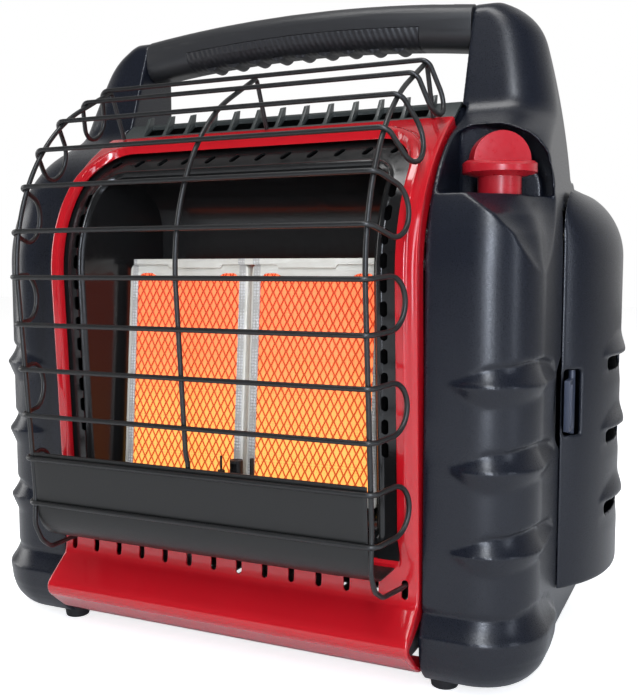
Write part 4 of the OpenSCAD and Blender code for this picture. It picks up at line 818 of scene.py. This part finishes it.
side_fold = [(PANEL_HALF - 1.8 + 1.8 * math.sin(a), 1.8 - 1.8 * math.cos(a))
             for a in np.radians((15, 30, 45, 60, 75, 90))] + [(PANEL_HALF, b) for b in (4, 6, 9, 12)]
spread = ([(x, 0) for x in np.arange(0, 90, 6)] + [(x, 0) for x in np.arange(90, 118, 1.6)]
          + [(x, 0) for x in np.arange(118, 134.1, 0.7)] + side_fold)
across_panel = [(-x, back) for x, back in reversed(spread[1:])] + spread
front_panel = folded_sheet(panel_line, across_panel, "red_panel", panel_raised)
slots = [oval((k * SLOT_PITCH, BAND_Y, 66.8), (0, 1, 0), (0, 0, 1), 4.4, 12.3, 30)
         for k in np.arange(-6.5, 7)]
front_panel = cut(front_panel, window_punch(*WINDOW, "window"), join(*slots))
smooth(front_panel, 32)
finish_piece(front_panel, RED, "front_panel")

# %% [markdown]
# ## Black trim and the box round the burners
# The trim lies just behind the panel's window. Its own opening has a rolled rim, with
# slanted ovals above it and a row of upright slots down each side.

# %% Inner trim
trim_line = panel_line + left_of(panel_line) * -1.7
trim_line = trim_line[(trim_line[:, 1] > 76) & (trim_line[:, 1] < 353.5)]
OPENING, BEAD, TRIM_ROLL = (216, 100, 329, 14), 1.6, 2.6
from_opening = window_distance(*OPENING, trim_line)


def trim_raised(x, y, z):
    away = from_opening(x, y, z)
    bead = BEAD * np.exp(-((away - 3.2) / 1.5) ** 2)
    return bead - TRIM_ROLL * np.clip(1 - away / 2.2, 0, 1) ** 2


spread = ([(x, 0) for x in np.arange(0, 88, 6)] + [(x, 0) for x in np.arange(88, 103, 1.5)]
          + [(x, 0) for x in np.arange(103, 128.1, 0.7)])
across_trim = [(-x, back) for x, back in reversed(spread[1:])] + spread
trim = folded_sheet(bent(trim_line, 1.2, 1), across_trim, "black_trim", trim_raised)
punches = []
for side in (-1, 1):
    punches += [oval((side * 114.6, PANEL_Y + 4, 312 - 14.4 * i), (0, 1, 0), (0, 0, 1), 4.4, 9.5, 40)
                for i in range(12)]
row = np.argmin(np.abs(trim_line[:, 1] - 339))
out_y, out_z = left_of(trim_line)[row]
SLANT = math.radians(30)
slant = Vector((math.sin(SLANT), out_z * math.cos(SLANT), -out_y * math.cos(SLANT)))
punches += [oval((k * SLOT_PITCH, trim_line[row, 0], 339), (0, out_y, out_z), slant, 4.6, 9, 14)
            for k in np.arange(-5.5, 6)]
trim = cut(trim, window_punch(*OPENING, "opening"), join(*punches))
smooth(trim, 32)
finish_piece(trim, BLACK, "inner_trim")

# %% [markdown]
# ## Cylinder doors
# A door is a thin moulded shell: an ellipse in plan that ends in a dome at its top.
# Three gills stand out of it with a slot under each lip, and the latch sits in a
# recess at its front edge. The outer skin is a plane grid laid on the ellipse, height
# by height.

# %% Right door
DOOR_FACE, DOOR_FOOT, DOOR_TOP = SIDE_X + 0.4, 48.0, 317.3
DOOR_MID, DOOR_A, DOOR_B, DOOR_BACK = Vector((185.0, 80.6)), 46.0, 78.0, 138.0
DOOR_GILLS = [205 - GILL_PITCH * k for k in range(3)]
GILL_MID, GILL_HALF, GILL_RISE, GILL_PROUD, LIP_DROP, RAMP = 78.0, 37.0, 19.0, 3.7, 2.2, 11.0
DOME_R, DOME_Z, DOOR_DEPTH, DOOR_FRONT = 52.0, 272.0, 28.6, 8.4
first_turn = -math.degrees(math.acos((DOOR_FACE - DOOR_MID.x) / DOOR_A))
last_turn = math.degrees(math.asin((DOOR_BACK - DOOR_MID.y) / DOOR_B))


def door_gill(y, z):
    """A lens-shaped hood above each slot, and the slight ramp that leads under it"""
    u = (y - GILL_MID) / GILL_HALF
    if abs(u) >= 1:
        return 0.0
    open_share = 1 - u * u
    proud = GILL_PROUD * open_share ** 0.6
    rise = GILL_RISE * open_share ** 0.7
    for lip in DOOR_GILLS:
        below = lip - z
        if 0 <= -below < rise:
            up = -below / rise
            return proud * (1 - up * up * (3 - 2 * up)) ** 1.2
        if 0 < below < LIP_DROP:
            return proud * (1 - below / LIP_DROP)
        if RAMP < below < 2 * RAMP:
            return -1.4 * open_share * (2 - below / RAMP)
    return 0.0


def door_row(z, inset=0.0):
    """Points of the shell or its hollow at one height, from the front edge to the hinge"""
    dome = math.sqrt(max(0, DOME_R ** 2 - max(0, z + inset - DOME_Z) ** 2))
    bulge = max(0.012, (dome - DOME_R + DOOR_DEPTH) / DOOR_DEPTH)
    edge = max(0, z - 288) / 30.4
    front = DOOR_FRONT + 33.6 * (1 - math.sqrt(max(0, 1 - min(edge, 0.999) ** 2)))
    foot = max(0, 3 - (z - DOOR_FOOT)) if z - DOOR_FOOT < 3 else 0
    foot = 3 - math.sqrt(9 - foot * foot)
    row = []
    for i in range(111):
        a = math.radians(first_turn + (last_turn - first_turn) * i / 110)
        y = DOOR_MID.y + (DOOR_B - inset) * math.sin(a)
        y = front + (y - DOOR_FRONT) * (DOOR_BACK - front) / (DOOR_BACK - DOOR_FRONT)
        out = DOOR_MID.x + (DOOR_A - inset) * math.cos(a) - DOOR_FACE
        x = DOOR_FACE + out * bulge - foot * min(1, out / 12) + (0 if inset else door_gill(y, z))
        row.append((x, y, z))
    if inset:
        return [(DOOR_FACE - 2, row[0][1], z)] + row + [(DOOR_FACE - 2, row[-1][1], z)]
    return row + [(DOOR_FACE, row[-1][1], z)]


lip_heights = [z for lip in DOOR_GILLS for z in np.linspace(lip - 3, lip + 20, 30)]
door_heights = stack(DOOR_FOOT, 285, 150, lip_heights)
door_heights += list(np.linspace(286, DOOR_TOP, 44))
shell = skin([door_row(z) for z in door_heights], "right_door_shell")
hollow_heights = np.linspace(DOOR_FOOT + WALL, DOOR_TOP - 2.4, 70)
hollow = skin([door_row(z, WALL) for z in hollow_heights], "door_hollow")
shell = cut(shell, hollow)
for z in HINGE_ZS:
    low, high = z - KNUCKLE_H / 2, z + KNUCKLE_H / 2
    root = box((SIDE_X + 3.2, DOOR_BACK - 1, low), (SIDE_X + 9.5, HINGE_Y, high))
    shell = cut(shell, knuckle(low), root, how="UNION")
slots = [oval((225, 78.6, lip - 6.4), (1, 0, 0), (0, 1, 0), 9.4, 58, 40) for lip in DOOR_GILLS]
recess = box((SIDE_X + 1.6, -4, 153), (SIDE_X + 40, BAY_Y + 13, 197), "recess")
shell = cut(shell, recess, join(*slots))
right_door = moulded(shell, 1.15)
cut(right_door, rod((HINGE_X, HINGE_Y, 70), (0, 0, 1), 210, 1.6, "pin_way", 24))
smooth(right_door, 50)
finish_piece(right_door, PLASTIC, "right_cylinder_door")
left_door = mirrored(right_door, "left_door_shell")
finish_piece(smooth(left_door, 50), PLASTIC, "left_cylinder_door")

# %% Latches
LATCH = Finish("latch_plastic", (0.035, 0.042, 0.065), Roughness=0.33)
fine_grain = LATCH.noise(0.6, detail=3)
LATCH.set("Base Color", LATCH.mixed(LATCH.noise(9), (0.030, 0.037, 0.058), (0.042, 0.050, 0.076)))
LATCH.set("Normal", LATCH.bump(fine_grain, 0.012))
tab = box((SIDE_X + 3.8, BAY_Y - 6, 157), (SIDE_X + 7.4, BAY_Y + 11, 191), "right_latch_tab")
ridges = [box((SIDE_X + 6.9, BAY_Y - 4.5 + 2.6 * i, 160), (SIDE_X + 8.2, BAY_Y - 3.3 + 2.6 * i, 188))
          for i in range(3)]
barrel = rod((SIDE_X + 5.6, BAY_Y + 12, 153.4), (0, 0, 1), 43.2, 2.2, "barrel", 32)
tab = cut(tab, barrel, *ridges, how="UNION")
right_tab = smooth(bevelled(tab, 0.7, 3), 40)
finish_piece(right_tab, LATCH, "right_door_latch")
left_tab = mirrored(right_tab, "left_latch_tab")
finish_piece(smooth(left_tab, 40), LATCH, "left_door_latch")

# %% [markdown]
# ## Burners
# Two pressed frames stand side by side and lean back a little. Each holds a ceramic
# tile that glows through a screen of expanded metal. The screen is a plane grid turned
# by 45 degrees and stretched into tall diamonds, which a Wireframe modifier turns into
# strands. Hot ceramic gets its colour from its height: salmon above, yellow below.

# %% Burner frames
TILE_Y, TILE_Z, TILE_LEAN = PANEL_Y + 36.5, 108.0, 4.6
TILE_W, TILE_H, TILE_GAP = 100.0, 160.0, 1.4
BORDER_LOW, BORDER_SIDE = 6.8, 6.8


def lean_back(piece):
    piece.data.transform(Matrix.Rotation(math.radians(-TILE_LEAN), 4, "X"))
    piece.data.transform(Matrix.Translation(Vector((0, TILE_Y, TILE_Z)) * MM))
    return piece


def rounded_line(corners, radius, steps=8):
    """A closed outline with each of its corners rounded"""
    line = []
    for before, here, after in zip(corners[-1:] + corners[:-1], corners, corners[1:] + corners[:1]):
        here = Vector(here)
        to_back, to_front = Vector(before) - here, Vector(after) - here
        reach = min(radius, to_back.length * 0.49, to_front.length * 0.49)
        first, last = here + to_back.normalized() * reach, here + to_front.normalized() * reach
        for i in range(steps + 1):
            t = i / steps
            line.append(tuple(first * (1 - t) ** 2 + here * 2 * t * (1 - t) + last * t * t))
    return line


def plate(outline, front, back, name):
    """A flat plate with an outline in the front view"""
    return skin([[(x, y, z) for x, z in outline] for y in (front, back)], name)


low_x, high_x = TILE_GAP, TILE_W
frame_line = rounded_line([(low_x, 0), (high_x, 0), (high_x, TILE_H), (low_x, TILE_H)], 6)
body = plate(frame_line, -3.4, 10, "frame")
open_x0, open_x1, open_z = low_x + BORDER_SIDE, high_x - BORDER_SIDE, TILE_H - BORDER_LOW
opening = [(open_x0, BORDER_LOW), (open_x1, BORDER_LOW), (open_x1, open_z - 5), (open_x1 - 3, open_z),
           (open_x1 - 13, open_z), (open_x1 - 17, open_z - 2.6), (open_x0 + 17, open_z - 2.6),
           (open_x0 + 13, open_z), (open_x0 + 3, open_z), (open_x0, open_z - 5)]
body = bevelled(body, 1.1)
body = cut(body, plate(rounded_line(opening, 2.5, 5), -10, 2, "opening"),
           plate(rounded_line([(low_x + 1.2, 1.2), (high_x - 1.2, 1.2), (high_x - 1.2, TILE_H - 1.2),
                               (low_x + 1.2, TILE_H - 1.2)], 5), -2.2, 12, "hollow"))
right_frame = smooth(bevelled(lean_back(body), 0.4, 2), 40)
right_frame.name = "right_frame"
left_frame = smooth(mirrored(right_frame, "left_frame"), 40)

frame_paint = Finish("pale_frame", (0.6, 0.57, 0.5), Metallic=0.15)
studs = frame_paint.dots(2.1, 0.15)
across_frame = frame_paint.node("ShaderNodeMath", {0: frame_paint.axis("X")}, operation="ABSOLUTE")
inner = frame_paint.between(across_frame, 0.0028, 0.0036)
inner_end = frame_paint.between(across_frame, 0.0080, 0.0086, 1, 0)
outer = frame_paint.between(across_frame, 0.0925, 0.0932)
outer_end = frame_paint.between(across_frame, 0.0970, 0.0978, 1, 0)
strip = inner * inner_end + outer * outer_end
stud = frame_paint.between(studs, 0.25, 0.6, 1, 0) * strip
stain = frame_paint.noise(14, detail=5)
base = frame_paint.mixed(stain, (0.62, 0.57, 0.48), (0.80, 0.77, 0.69))
# The stud strips along the frame's sides are mixed towards dark grey: a painted shadow, not the metal's own
# colour
strip_painted_shadow = frame_paint.mixed(strip * 0.55, base, (0.30, 0.28, 0.27))
frame_paint.set("Base Color", frame_paint.mixed(stud * 0.7, strip_painted_shadow, (0.72, 0.70, 0.68)))
frame_paint.set("Roughness", frame_paint.between(stain, 0.3, 0.7, 0.34, 0.5))
frame_paint.set("Normal", frame_paint.bump(stud, 0.35, 0.8))
finish_piece(right_frame, frame_paint, "right_burner_frame")
finish_piece(left_frame, frame_paint, "left_burner_frame")
dress("burner_clamp", "clamp_bar", frame_paint, 0.6)

# %% Glowing tiles
glowing = Finish("hot_ceramic", (0.55, 0.2, 0.08), Roughness=0.9)
height = glowing.axis("Z")
patches = glowing.noise(34, detail=3, rough=0.55)
hot = glowing.between(height + patches * 0.045 - 0.0225, 0.118, 0.255, 1, 0)
COOLEST_TO_HOTTEST = [(0.0, (1.0, 0.145, 0.055)), (0.35, (1.0, 0.21, 0.065)),
                      (0.65, (1.0, 0.34, 0.07)), (1.0, (1.0, 0.50, 0.10))]
ramp = glowing.node("ShaderNodeValToRGB", {0: hot}, stops=COOLEST_TO_HOTTEST)
holes = glowing.dots(1.9, 0.1)
pit = glowing.between(holes, 0.1, 0.42, 0.62, 0)
glowing.set("Emission Color", glowing.mixed(pit, ramp, (0.75, 0.12, 0.02)))
glowing.set("Base Color", glowing.mixed(patches, (0.5, 0.16, 0.06), (0.62, 0.26, 0.1)))
glowing.set("Emission Strength", 1.1)
for side, name in ((1, "right"), (-1, "left")):
    low, high = sorted((side * (TILE_GAP + 2), side * (TILE_W - 2)))
    tile = lean_back(box((low, 1.4, 2), (high, 14.4, TILE_H - 2), name + "_tile"))
    finish_piece(bevelled(tile, 1), glowing, name + "_ceramic_tile")

# %% Diamond screens
DIAMOND_W, DIAMOND_H, STRAND = 5.7, 10.1, 1.75
cells = 46
screen = grid(cells, cells, "right_screen_mesh", cells * MM)
screen.rotation_euler = (math.radians(90), 0, 0)
screen.data.transform(Matrix.Rotation(math.radians(45), 4, "Z"))
screen.data.transform(Matrix.Diagonal((DIAMOND_W / math.sqrt(2), DIAMOND_H / math.sqrt(2), 1, 1)))
settle(screen)
screen_x, screen_z = (open_x0 + open_x1) / 2, (BORDER_LOW + open_z) / 2
screen.data.transform(Matrix.Translation(Vector((screen_x, 0.5, screen_z)) * MM))
outside = (open_x1 - open_x0) / 2 + 2.0, (open_z - BORDER_LOW) / 2 + 1.4
edit(screen, faces=lambda f: abs(f.calc_center_median().x / MM - screen_x) > outside[0]
     or abs(f.calc_center_median().z / MM - screen_z) > outside[1])
bpy.ops.mesh.delete(type="FACE")
leave_edit()
modify(screen, "WIREFRAME", thickness=STRAND * MM, use_even_offset=False)
lean_back(screen)
strand_paint = Finish("hot_strands", (0.2, 0.03, 0.01), Roughness=0.7)
height = strand_paint.axis("Z")
warm = strand_paint.between(height, 0.11, 0.27, 1, 0)
patch = strand_paint.noise(25, detail=3)
strand_paint.set("Base Color", strand_paint.mixed(patch, (0.16, 0.02, 0.008), (0.26, 0.05, 0.02)))
strand_paint.set("Emission Color", strand_paint.mixed(warm, (0.48, 0.040, 0.010), (0.50, 0.085, 0.010)))
strand_paint.set("Emission Strength", 1.0)
finish_piece(screen, strand_paint, "right_screen")
finish_piece(mirrored(screen, "left_screen_mesh"), strand_paint, "left_screen")

# %% The box behind them
dress("reflector_box", "burner_box", BLACK)

# %% [markdown]
# ## Wire guard and shield
# The guard is bent wire. Each ring is one closed wire whose ends fold back in a loop,
# and the whole guard is rolled over the burners: a straight part, a bend and a straight
# top. Each wire is a curve with a round bevel, turned into a mesh. The ridge along the
# bend is worked out by length, as a wire bender sets it out.

# %% Where the guard's surface runs
GUARD_Y, GUARD_Z, GUARD_LEAN, GUARD_R, GUARD_HEAD = PANEL_Y - 50.5, 106.0, 4.7, 131.0, 28.0
WIRE_D, RING_PITCH, RING_GAP, TOP_GAP, UPRIGHT_X = 3.2, 61.0, 31.0, 25.5, 122.4

guard_centre = Vector((GUARD_Y + GUARD_R, 262.7))
guard_foot = Vector(at_angle(guard_centre, GUARD_R, 180 + GUARD_LEAN))
lean_run = (guard_foot.y - GUARD_Z) * math.tan(math.radians(GUARD_LEAN))
guard_low = Vector((guard_foot.x + lean_run, GUARD_Z))
straight_length = (guard_foot - guard_low).length
bend_length = GUARD_R * math.radians(90 + GUARD_LEAN - GUARD_HEAD)


def guard_turn(length):
    if length < straight_length:
        return 90 + GUARD_LEAN
    return max(GUARD_HEAD, 90 + GUARD_LEAN - math.degrees((length - straight_length) / GUARD_R))


def guard_point(length, behind=0.0):
    """A place on the guard at a length from its lowest wire, or a distance behind it"""
    turn = guard_turn(length)
    if length < straight_length:
        place = guard_low + (guard_foot - guard_low).normalized() * length
    else:
        past_bend = max(0, length - straight_length - bend_length)
        place = at_angle(at_angle(guard_centre, GUARD_R, turn + 90), past_bend, GUARD_HEAD)
    return Vector(at_angle(place, behind, turn - 90))


def bent_wire(points, name, closed=False, width=WIRE_D, round_ends=4):
    """A round wire through points in millimetres"""
    curve = bpy.data.curves.new(name, "CURVE")
    curve.dimensions, curve.bevel_depth, curve.bevel_resolution = "3D", width / 2 * MM, round_ends
    curve.use_fill_caps = True
    line = curve.splines.new("POLY")
    line.points.add(len(points) - 1)
    for point, place in zip(line.points, points):
        point.co = (*(Vector(place) * MM), 1)
    line.use_cyclic_u = closed
    piece = bpy.data.objects.new(name, curve)
    bpy.context.scene.collection.objects.link(piece)
    pick(piece)
    bpy.ops.object.convert(target="MESH")
    piece = bpy.context.object
    pick(piece)
    bpy.ops.object.shade_smooth()
    return piece


# %% Rings
LOOP_LEAN, LOOP_R, LOOP_REACH = 15.0, 7.0, 34.0
LOOP_X = UPRIGHT_X + 3.2
loop_tangent = LOOP_R * math.tan(math.radians((90 - LOOP_LEAN) / 2))
loop_arc = LOOP_R * math.radians(90 - LOOP_LEAN)
fold_start = LOOP_X - loop_tangent
loop_leg = (LOOP_REACH - RING_GAP / 2) / math.cos(math.radians(LOOP_LEAN))
ring_end = LOOP_X - 2 * loop_tangent + loop_arc + loop_leg


def loop_fold(along):
    """Place across the heater and distance in from the guard's face, at a length of a ring"""
    past = along - fold_start
    if past <= 0:
        return along, 0.0
    if past < loop_arc:
        return fold_start + LOOP_R * math.sin(past / LOOP_R), LOOP_R * (1 - math.cos(past / LOOP_R))
    left = past - loop_arc + loop_tangent
    return LOOP_X + left * math.sin(math.radians(LOOP_LEAN)), left * math.cos(math.radians(LOOP_LEAN))


def guard_ring(number, gap):
    middle = RING_GAP / 2 + number * RING_PITCH
    low, high = guard_point(middle - gap / 2), guard_point(middle + gap / 2)
    up = (high - low).normalized()
    inward = Vector((up.y, -up.x))
    half = [(fold_start + loop_arc * i / 12, -gap / 2) for i in range(13)]
    half += [(ring_end + gap / 2 * math.cos(math.radians(a)), gap / 2 * math.sin(math.radians(a)))
             for a in np.linspace(-90, 90, 29)]
    half += [(fold_start + loop_arc * i / 12, gap / 2) for i in range(12, -1, -1)]
    points = []
    for side, rows in ((1, half), (-1, half[::-1])):
        for along, height in rows:
            x, back = loop_fold(along)
            yz = (low + high) / 2 + inward * back + up * height
            points.append((side * x, yz.x, yz.y))
    return bent_wire(points, f"ring_{number + 1}", closed=True)


rings = join(*[guard_ring(k, RING_GAP) for k in range(5)], guard_ring(5, TOP_GAP))
rings.name = "guard_ring_wires"
finish_piece(rings, WIRE, "guard_rings")

# %% Uprights
TOE, TOE_LEAN = 38.0, math.radians(24)
top_middle = RING_GAP / 2 + 5 * RING_PITCH
guard_top = guard_point(top_middle + TOP_GAP / 2 + 3.5)
toe_end = guard_top + Vector((TOE * math.sin(TOE_LEAN) + 4, -TOE * math.cos(TOE_LEAN)))
upright_length = top_middle + TOP_GAP / 2 + 2.5


def upright(x, foot_x, hidden=False):
    face = []
    for length in np.linspace(8 if hidden else 0, upright_length, 90):
        tuck = 1.75 * min(1, max(0, (45 - length) / 8)) if hidden else 0
        face.append(guard_point(length, WIRE_D + 0.05 + tuck))
    over = [face[-1] + Vector(step) for step in ((2.2, 0.9), (4.2, 0.1), (5.4, -2.2))]
    over.append(toe_end + Vector((-0.5, 1)))
    low = []
    if not hidden:
        hook = [(BAND_Y + y, z) for y, z in ((4, 69), (-2, 69.6), (-30, 71), (-40, 78), (-46.5, 91))]
        hook = bent(hook + [tuple(face[2])], 2.0, 5)[:-1]
        low = [(foot_x + (x - foot_x) * min(1, max(0, (BAND_Y - 4 - y) / 34)), y, z) for y, z in hook]
    line = low + [(x, p.x, p.y) for p in (face[3:] if low else face)] + [(x, p.x, p.y) for p in over]
    return bent_wire(line, "upright")


uprights = join(*[upright(s * UPRIGHT_X, s * 6.5 * SLOT_PITCH) for s in (-1, 1)], upright(0, 0, True))
uprights.name = "guard_upright_wires"
finish_piece(uprights, WIRE, "guard_uprights")

# %% Shield
shield_y = guard_low.x + WIRE_D / 2 + 0.3
shield_top = guard_point(35).x + WIRE_D / 2 + 0.3
shield_line = bent([(BAND_Y - 1.2, 79)] + arc((shield_y + 24, 103), 24, 270, 180, 24)
                   + [(shield_top, GUARD_Z + 35)], 1.5, 1.2)
shield_half = UPRIGHT_X - WIRE_D / 2 - 0.3
across_shield = [(x, 0) for x in np.linspace(-shield_half, shield_half, 60)]
shield = folded_sheet(shield_line, across_shield, "shield_plate")
finish_piece(smooth(bevelled(shield, 0.35, 2, 50), 40), SHIELD, "guard_shield")

# %% [markdown]
# ## Handle, knob and fins
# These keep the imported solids' shapes, with the rounded edges that a mould or a press
# leaves.

# %% Handle and knob
dress("handle_bar", "handle_arch", HANDLE, 1.2, 4)
dress("handle_grip", "handle_sleeve", GRIP, 0.6, 3)

# The skirt's rim is thin, and dips in front of the grip and behind it, as a saddle does
SKIRT_R, RIM_R, RIM_LIFT, SADDLE_DIP = 23, 20.5, 2.4, 2.8
knob = copy_of("control_knob", "knob_cap")
places = points_of(knob)
from_axis = places - [KNOB.x, KNOB.y, 0]
rim = np.hypot(from_axis[:, 0], from_axis[:, 1]) > RIM_R
high = rim & (places[:, 2] > places[rim, 2].min() + 5)
facing = (from_axis[:, 0] * 0.5 - from_axis[:, 1] * 0.866) / SKIRT_R
places[rim & ~high, 2] += RIM_LIFT
places[high, 2] -= SADDLE_DIP * facing[high] ** 2
finish_piece(eased_edges(place_points(knob, places), 1.0, 4), KNOB_RED, "control_knob")

# %% Top cover, feet, back and base
dress("top_cover", "fin_cover", LOUVRE, segments=3)
dress("rubber_feet", "foot_pads", RUBBER, 1.5, 4)
dress("back_panel", "back_sheet", BLACK_PLASTIC)
dress("fan_grille", "fan_grille_ring", BLACK_PLASTIC, 0.4)
dress("battery_cover", "battery_lid", BLACK_PLASTIC, 0.6)
dress("fan_switch", "switch_rocker", BLACK_PLASTIC)
dress("base_pan", "base_tray", GALVANISED)


# %% The knob's return spring, coiled between the ends of the imported spring
spring_foot, spring_head = [corner.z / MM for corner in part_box("stem_spring")]
SPRING_R, SPRING_WIRE, TURNS = 5.5, 1.1, 3.6
rise = spring_head - spring_foot - SPRING_WIRE
coil = [(KNOB.x + SPRING_R * math.cos(a), KNOB.y + SPRING_R * math.sin(a),
         spring_foot + SPRING_WIRE / 2 + rise * a / (2 * math.pi * TURNS))
        for a in np.linspace(0, 2 * math.pi * TURNS, 130)]
spring = bent_wire(coil, "return_spring", width=SPRING_WIRE)
finish_piece(spring, STEEL, "stem_spring")
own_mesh(spring)

# %% [markdown]
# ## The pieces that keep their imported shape
# Inner pieces, pins and fittings are right as they are, and only get their finish. A
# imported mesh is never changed, so its material slots are refilled and nothing else.

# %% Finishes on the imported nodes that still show
by_slot = {"housing_plastic": PLASTIC, "handle_plastic": BLACK_PLASTIC, "grip_rubber": RUBBER,
           "foot_rubber": RUBBER, "red_enamel": RED, "black_enamel": BLACK, "guard_wire": WIRE,
           "louvre_grey": LOUVRE, "case_black": BLACK_PLASTIC, "galvanised": GALVANISED,
           "frame_steel": PALE_STEEL, "ceramic": GLOW, "screen_wire": GLOW, "brass": BRASS,
           "pipe": STEEL, "steel": STEEL, "knob_red": KNOB_RED, "inner_plastic": BLACK_PLASTIC,
           "porcelain": CERAMIC}
# The pilot burner, electrode and thermocouple share one near-black finish, much darker than their own steel,
# porcelain and brass
darkened_pilot = plain("darkened_pilot_metal", (0.020, 0.018, 0.017), 0.55, metallic=0.3, grain_mm=1.5, change=0.3)
by_node = {"pilot_burner": darkened_pilot, "electrode": darkened_pilot, "thermocouple": darkened_pilot}
for name, node in nodes.items():
    node.data.materials.clear()
    node.data.materials.append(by_node.get(name, by_slot[slot_of[name]]).material)
print("packed nodes finished:", len(nodes))

# %% [markdown]
# ## Studio
# A white table and a white room, as for a catalogue picture. The floor is a plain pale
# surface that keeps the heater's shadow. Behind the heater the room is white, and in
# front it is dim, so that dark gloss stays dark: gloss shows its surroundings more
# than its own colour.

# %% Floor
bpy.ops.object.select_all(action="DESELECT")
bpy.ops.mesh.primitive_plane_add(size=12, location=(0, 0, 0))
floor = bpy.context.object
floor.name = "floor"
paper = Finish("floor_paper", (0.86, 0.86, 0.86), Roughness=0.9)
lit = Value(paper, paper.surface.outputs[0])
camera_ray = paper.node("ShaderNodeLightPath", out="Is Camera Ray")
glow = paper.node("ShaderNodeEmission", {"Color": (1, 1, 1, 1), "Strength": 0.74})
lifted = paper.node("ShaderNodeAddShader", {0: glow, 1: lit})
shader = paper.node("ShaderNodeMixShader", {0: camera_ray, 1: lit, 2: lifted})
paper.tree.links.new(shader.socket, paper.tree.nodes["Material Output"].inputs["Surface"])
floor.data.materials.append(paper.material)

# %% Room and lamps
world = bpy.data.worlds.new("room")
bpy.context.scene.world = world
world.use_nodes = True
sky = world.node_tree
back = sky.nodes["Background"]
rays = sky.nodes.new("ShaderNodeLightPath")
where = sky.nodes.new("ShaderNodeTexCoord")
split = sky.nodes.new("ShaderNodeSeparateXYZ")
sky.links.new(where.outputs["Generated"], split.inputs[0])
shade = sky.nodes.new("ShaderNodeMapRange")
shade.interpolation_type = "SMOOTHSTEP"
sky.links.new(split.outputs["Y"], shade.inputs["Value"])
for socket, value in (("From Min", -0.1), ("From Max", 0.9), ("To Min", 0.08), ("To Max", 0.7)):
    shade.inputs[socket].default_value = value
most = sky.nodes.new("ShaderNodeMath")
most.operation = "MAXIMUM"
sky.links.new(rays.outputs["Is Camera Ray"], most.inputs[0])
sky.links.new(shade.outputs[0], most.inputs[1])
sky.links.new(most.outputs[0], back.inputs["Strength"])
back.inputs["Color"].default_value = (1, 1, 1, 1)


def lamp(name, direction, distance, size, power, colour=(1, 1, 1)):
    """A soft box that looks at the heater from a direction: turn round it, and height"""
    turn, height = [math.radians(a) for a in direction]
    data = bpy.data.lights.new(name, "AREA")
    data.shape, data.size, data.size_y = "RECTANGLE", size[0], size[1]
    data.energy, data.color = power, colour
    one = bpy.data.objects.new(name, data)
    aim = Vector((0, 0, 0.22))
    one.location = aim + distance * Vector((math.sin(turn) * math.cos(height),
                                            -math.cos(turn) * math.cos(height), math.sin(height)))
    one.rotation_euler = (aim - one.location).to_track_quat("-Z", "Y").to_euler()
    bpy.context.scene.collection.objects.link(one)
    return one


lamp("strip", (26, 10), 2.2, (0.26, 1.7), 40, (0.80, 0.87, 1.0))
lamp("overhead", (-20, 80), 2.2, (1.1, 0.8), 20)
lamp("left_box", (-80, 12), 2.2, (0.9, 1.4), 14)
lamp("tower_strip", (24, 44), 2.2, (0.3, 0.9), 20, (0.88, 0.93, 1.0))
lamp("door_strip", (72, 12), 2.2, (0.22, 1.5), 7, (0.80, 0.87, 1.0))
view = bpy.context.scene.view_settings
view.view_transform = "Standard"
print("lamps:", len(bpy.data.lights))

# %% [markdown]
# ## Last lines
# The view layer is brought up to date, and the number of pieces shown is printed.

# %% The count of pieces, and the end
bpy.context.view_layer.update()
print("pieces:", len(shown))
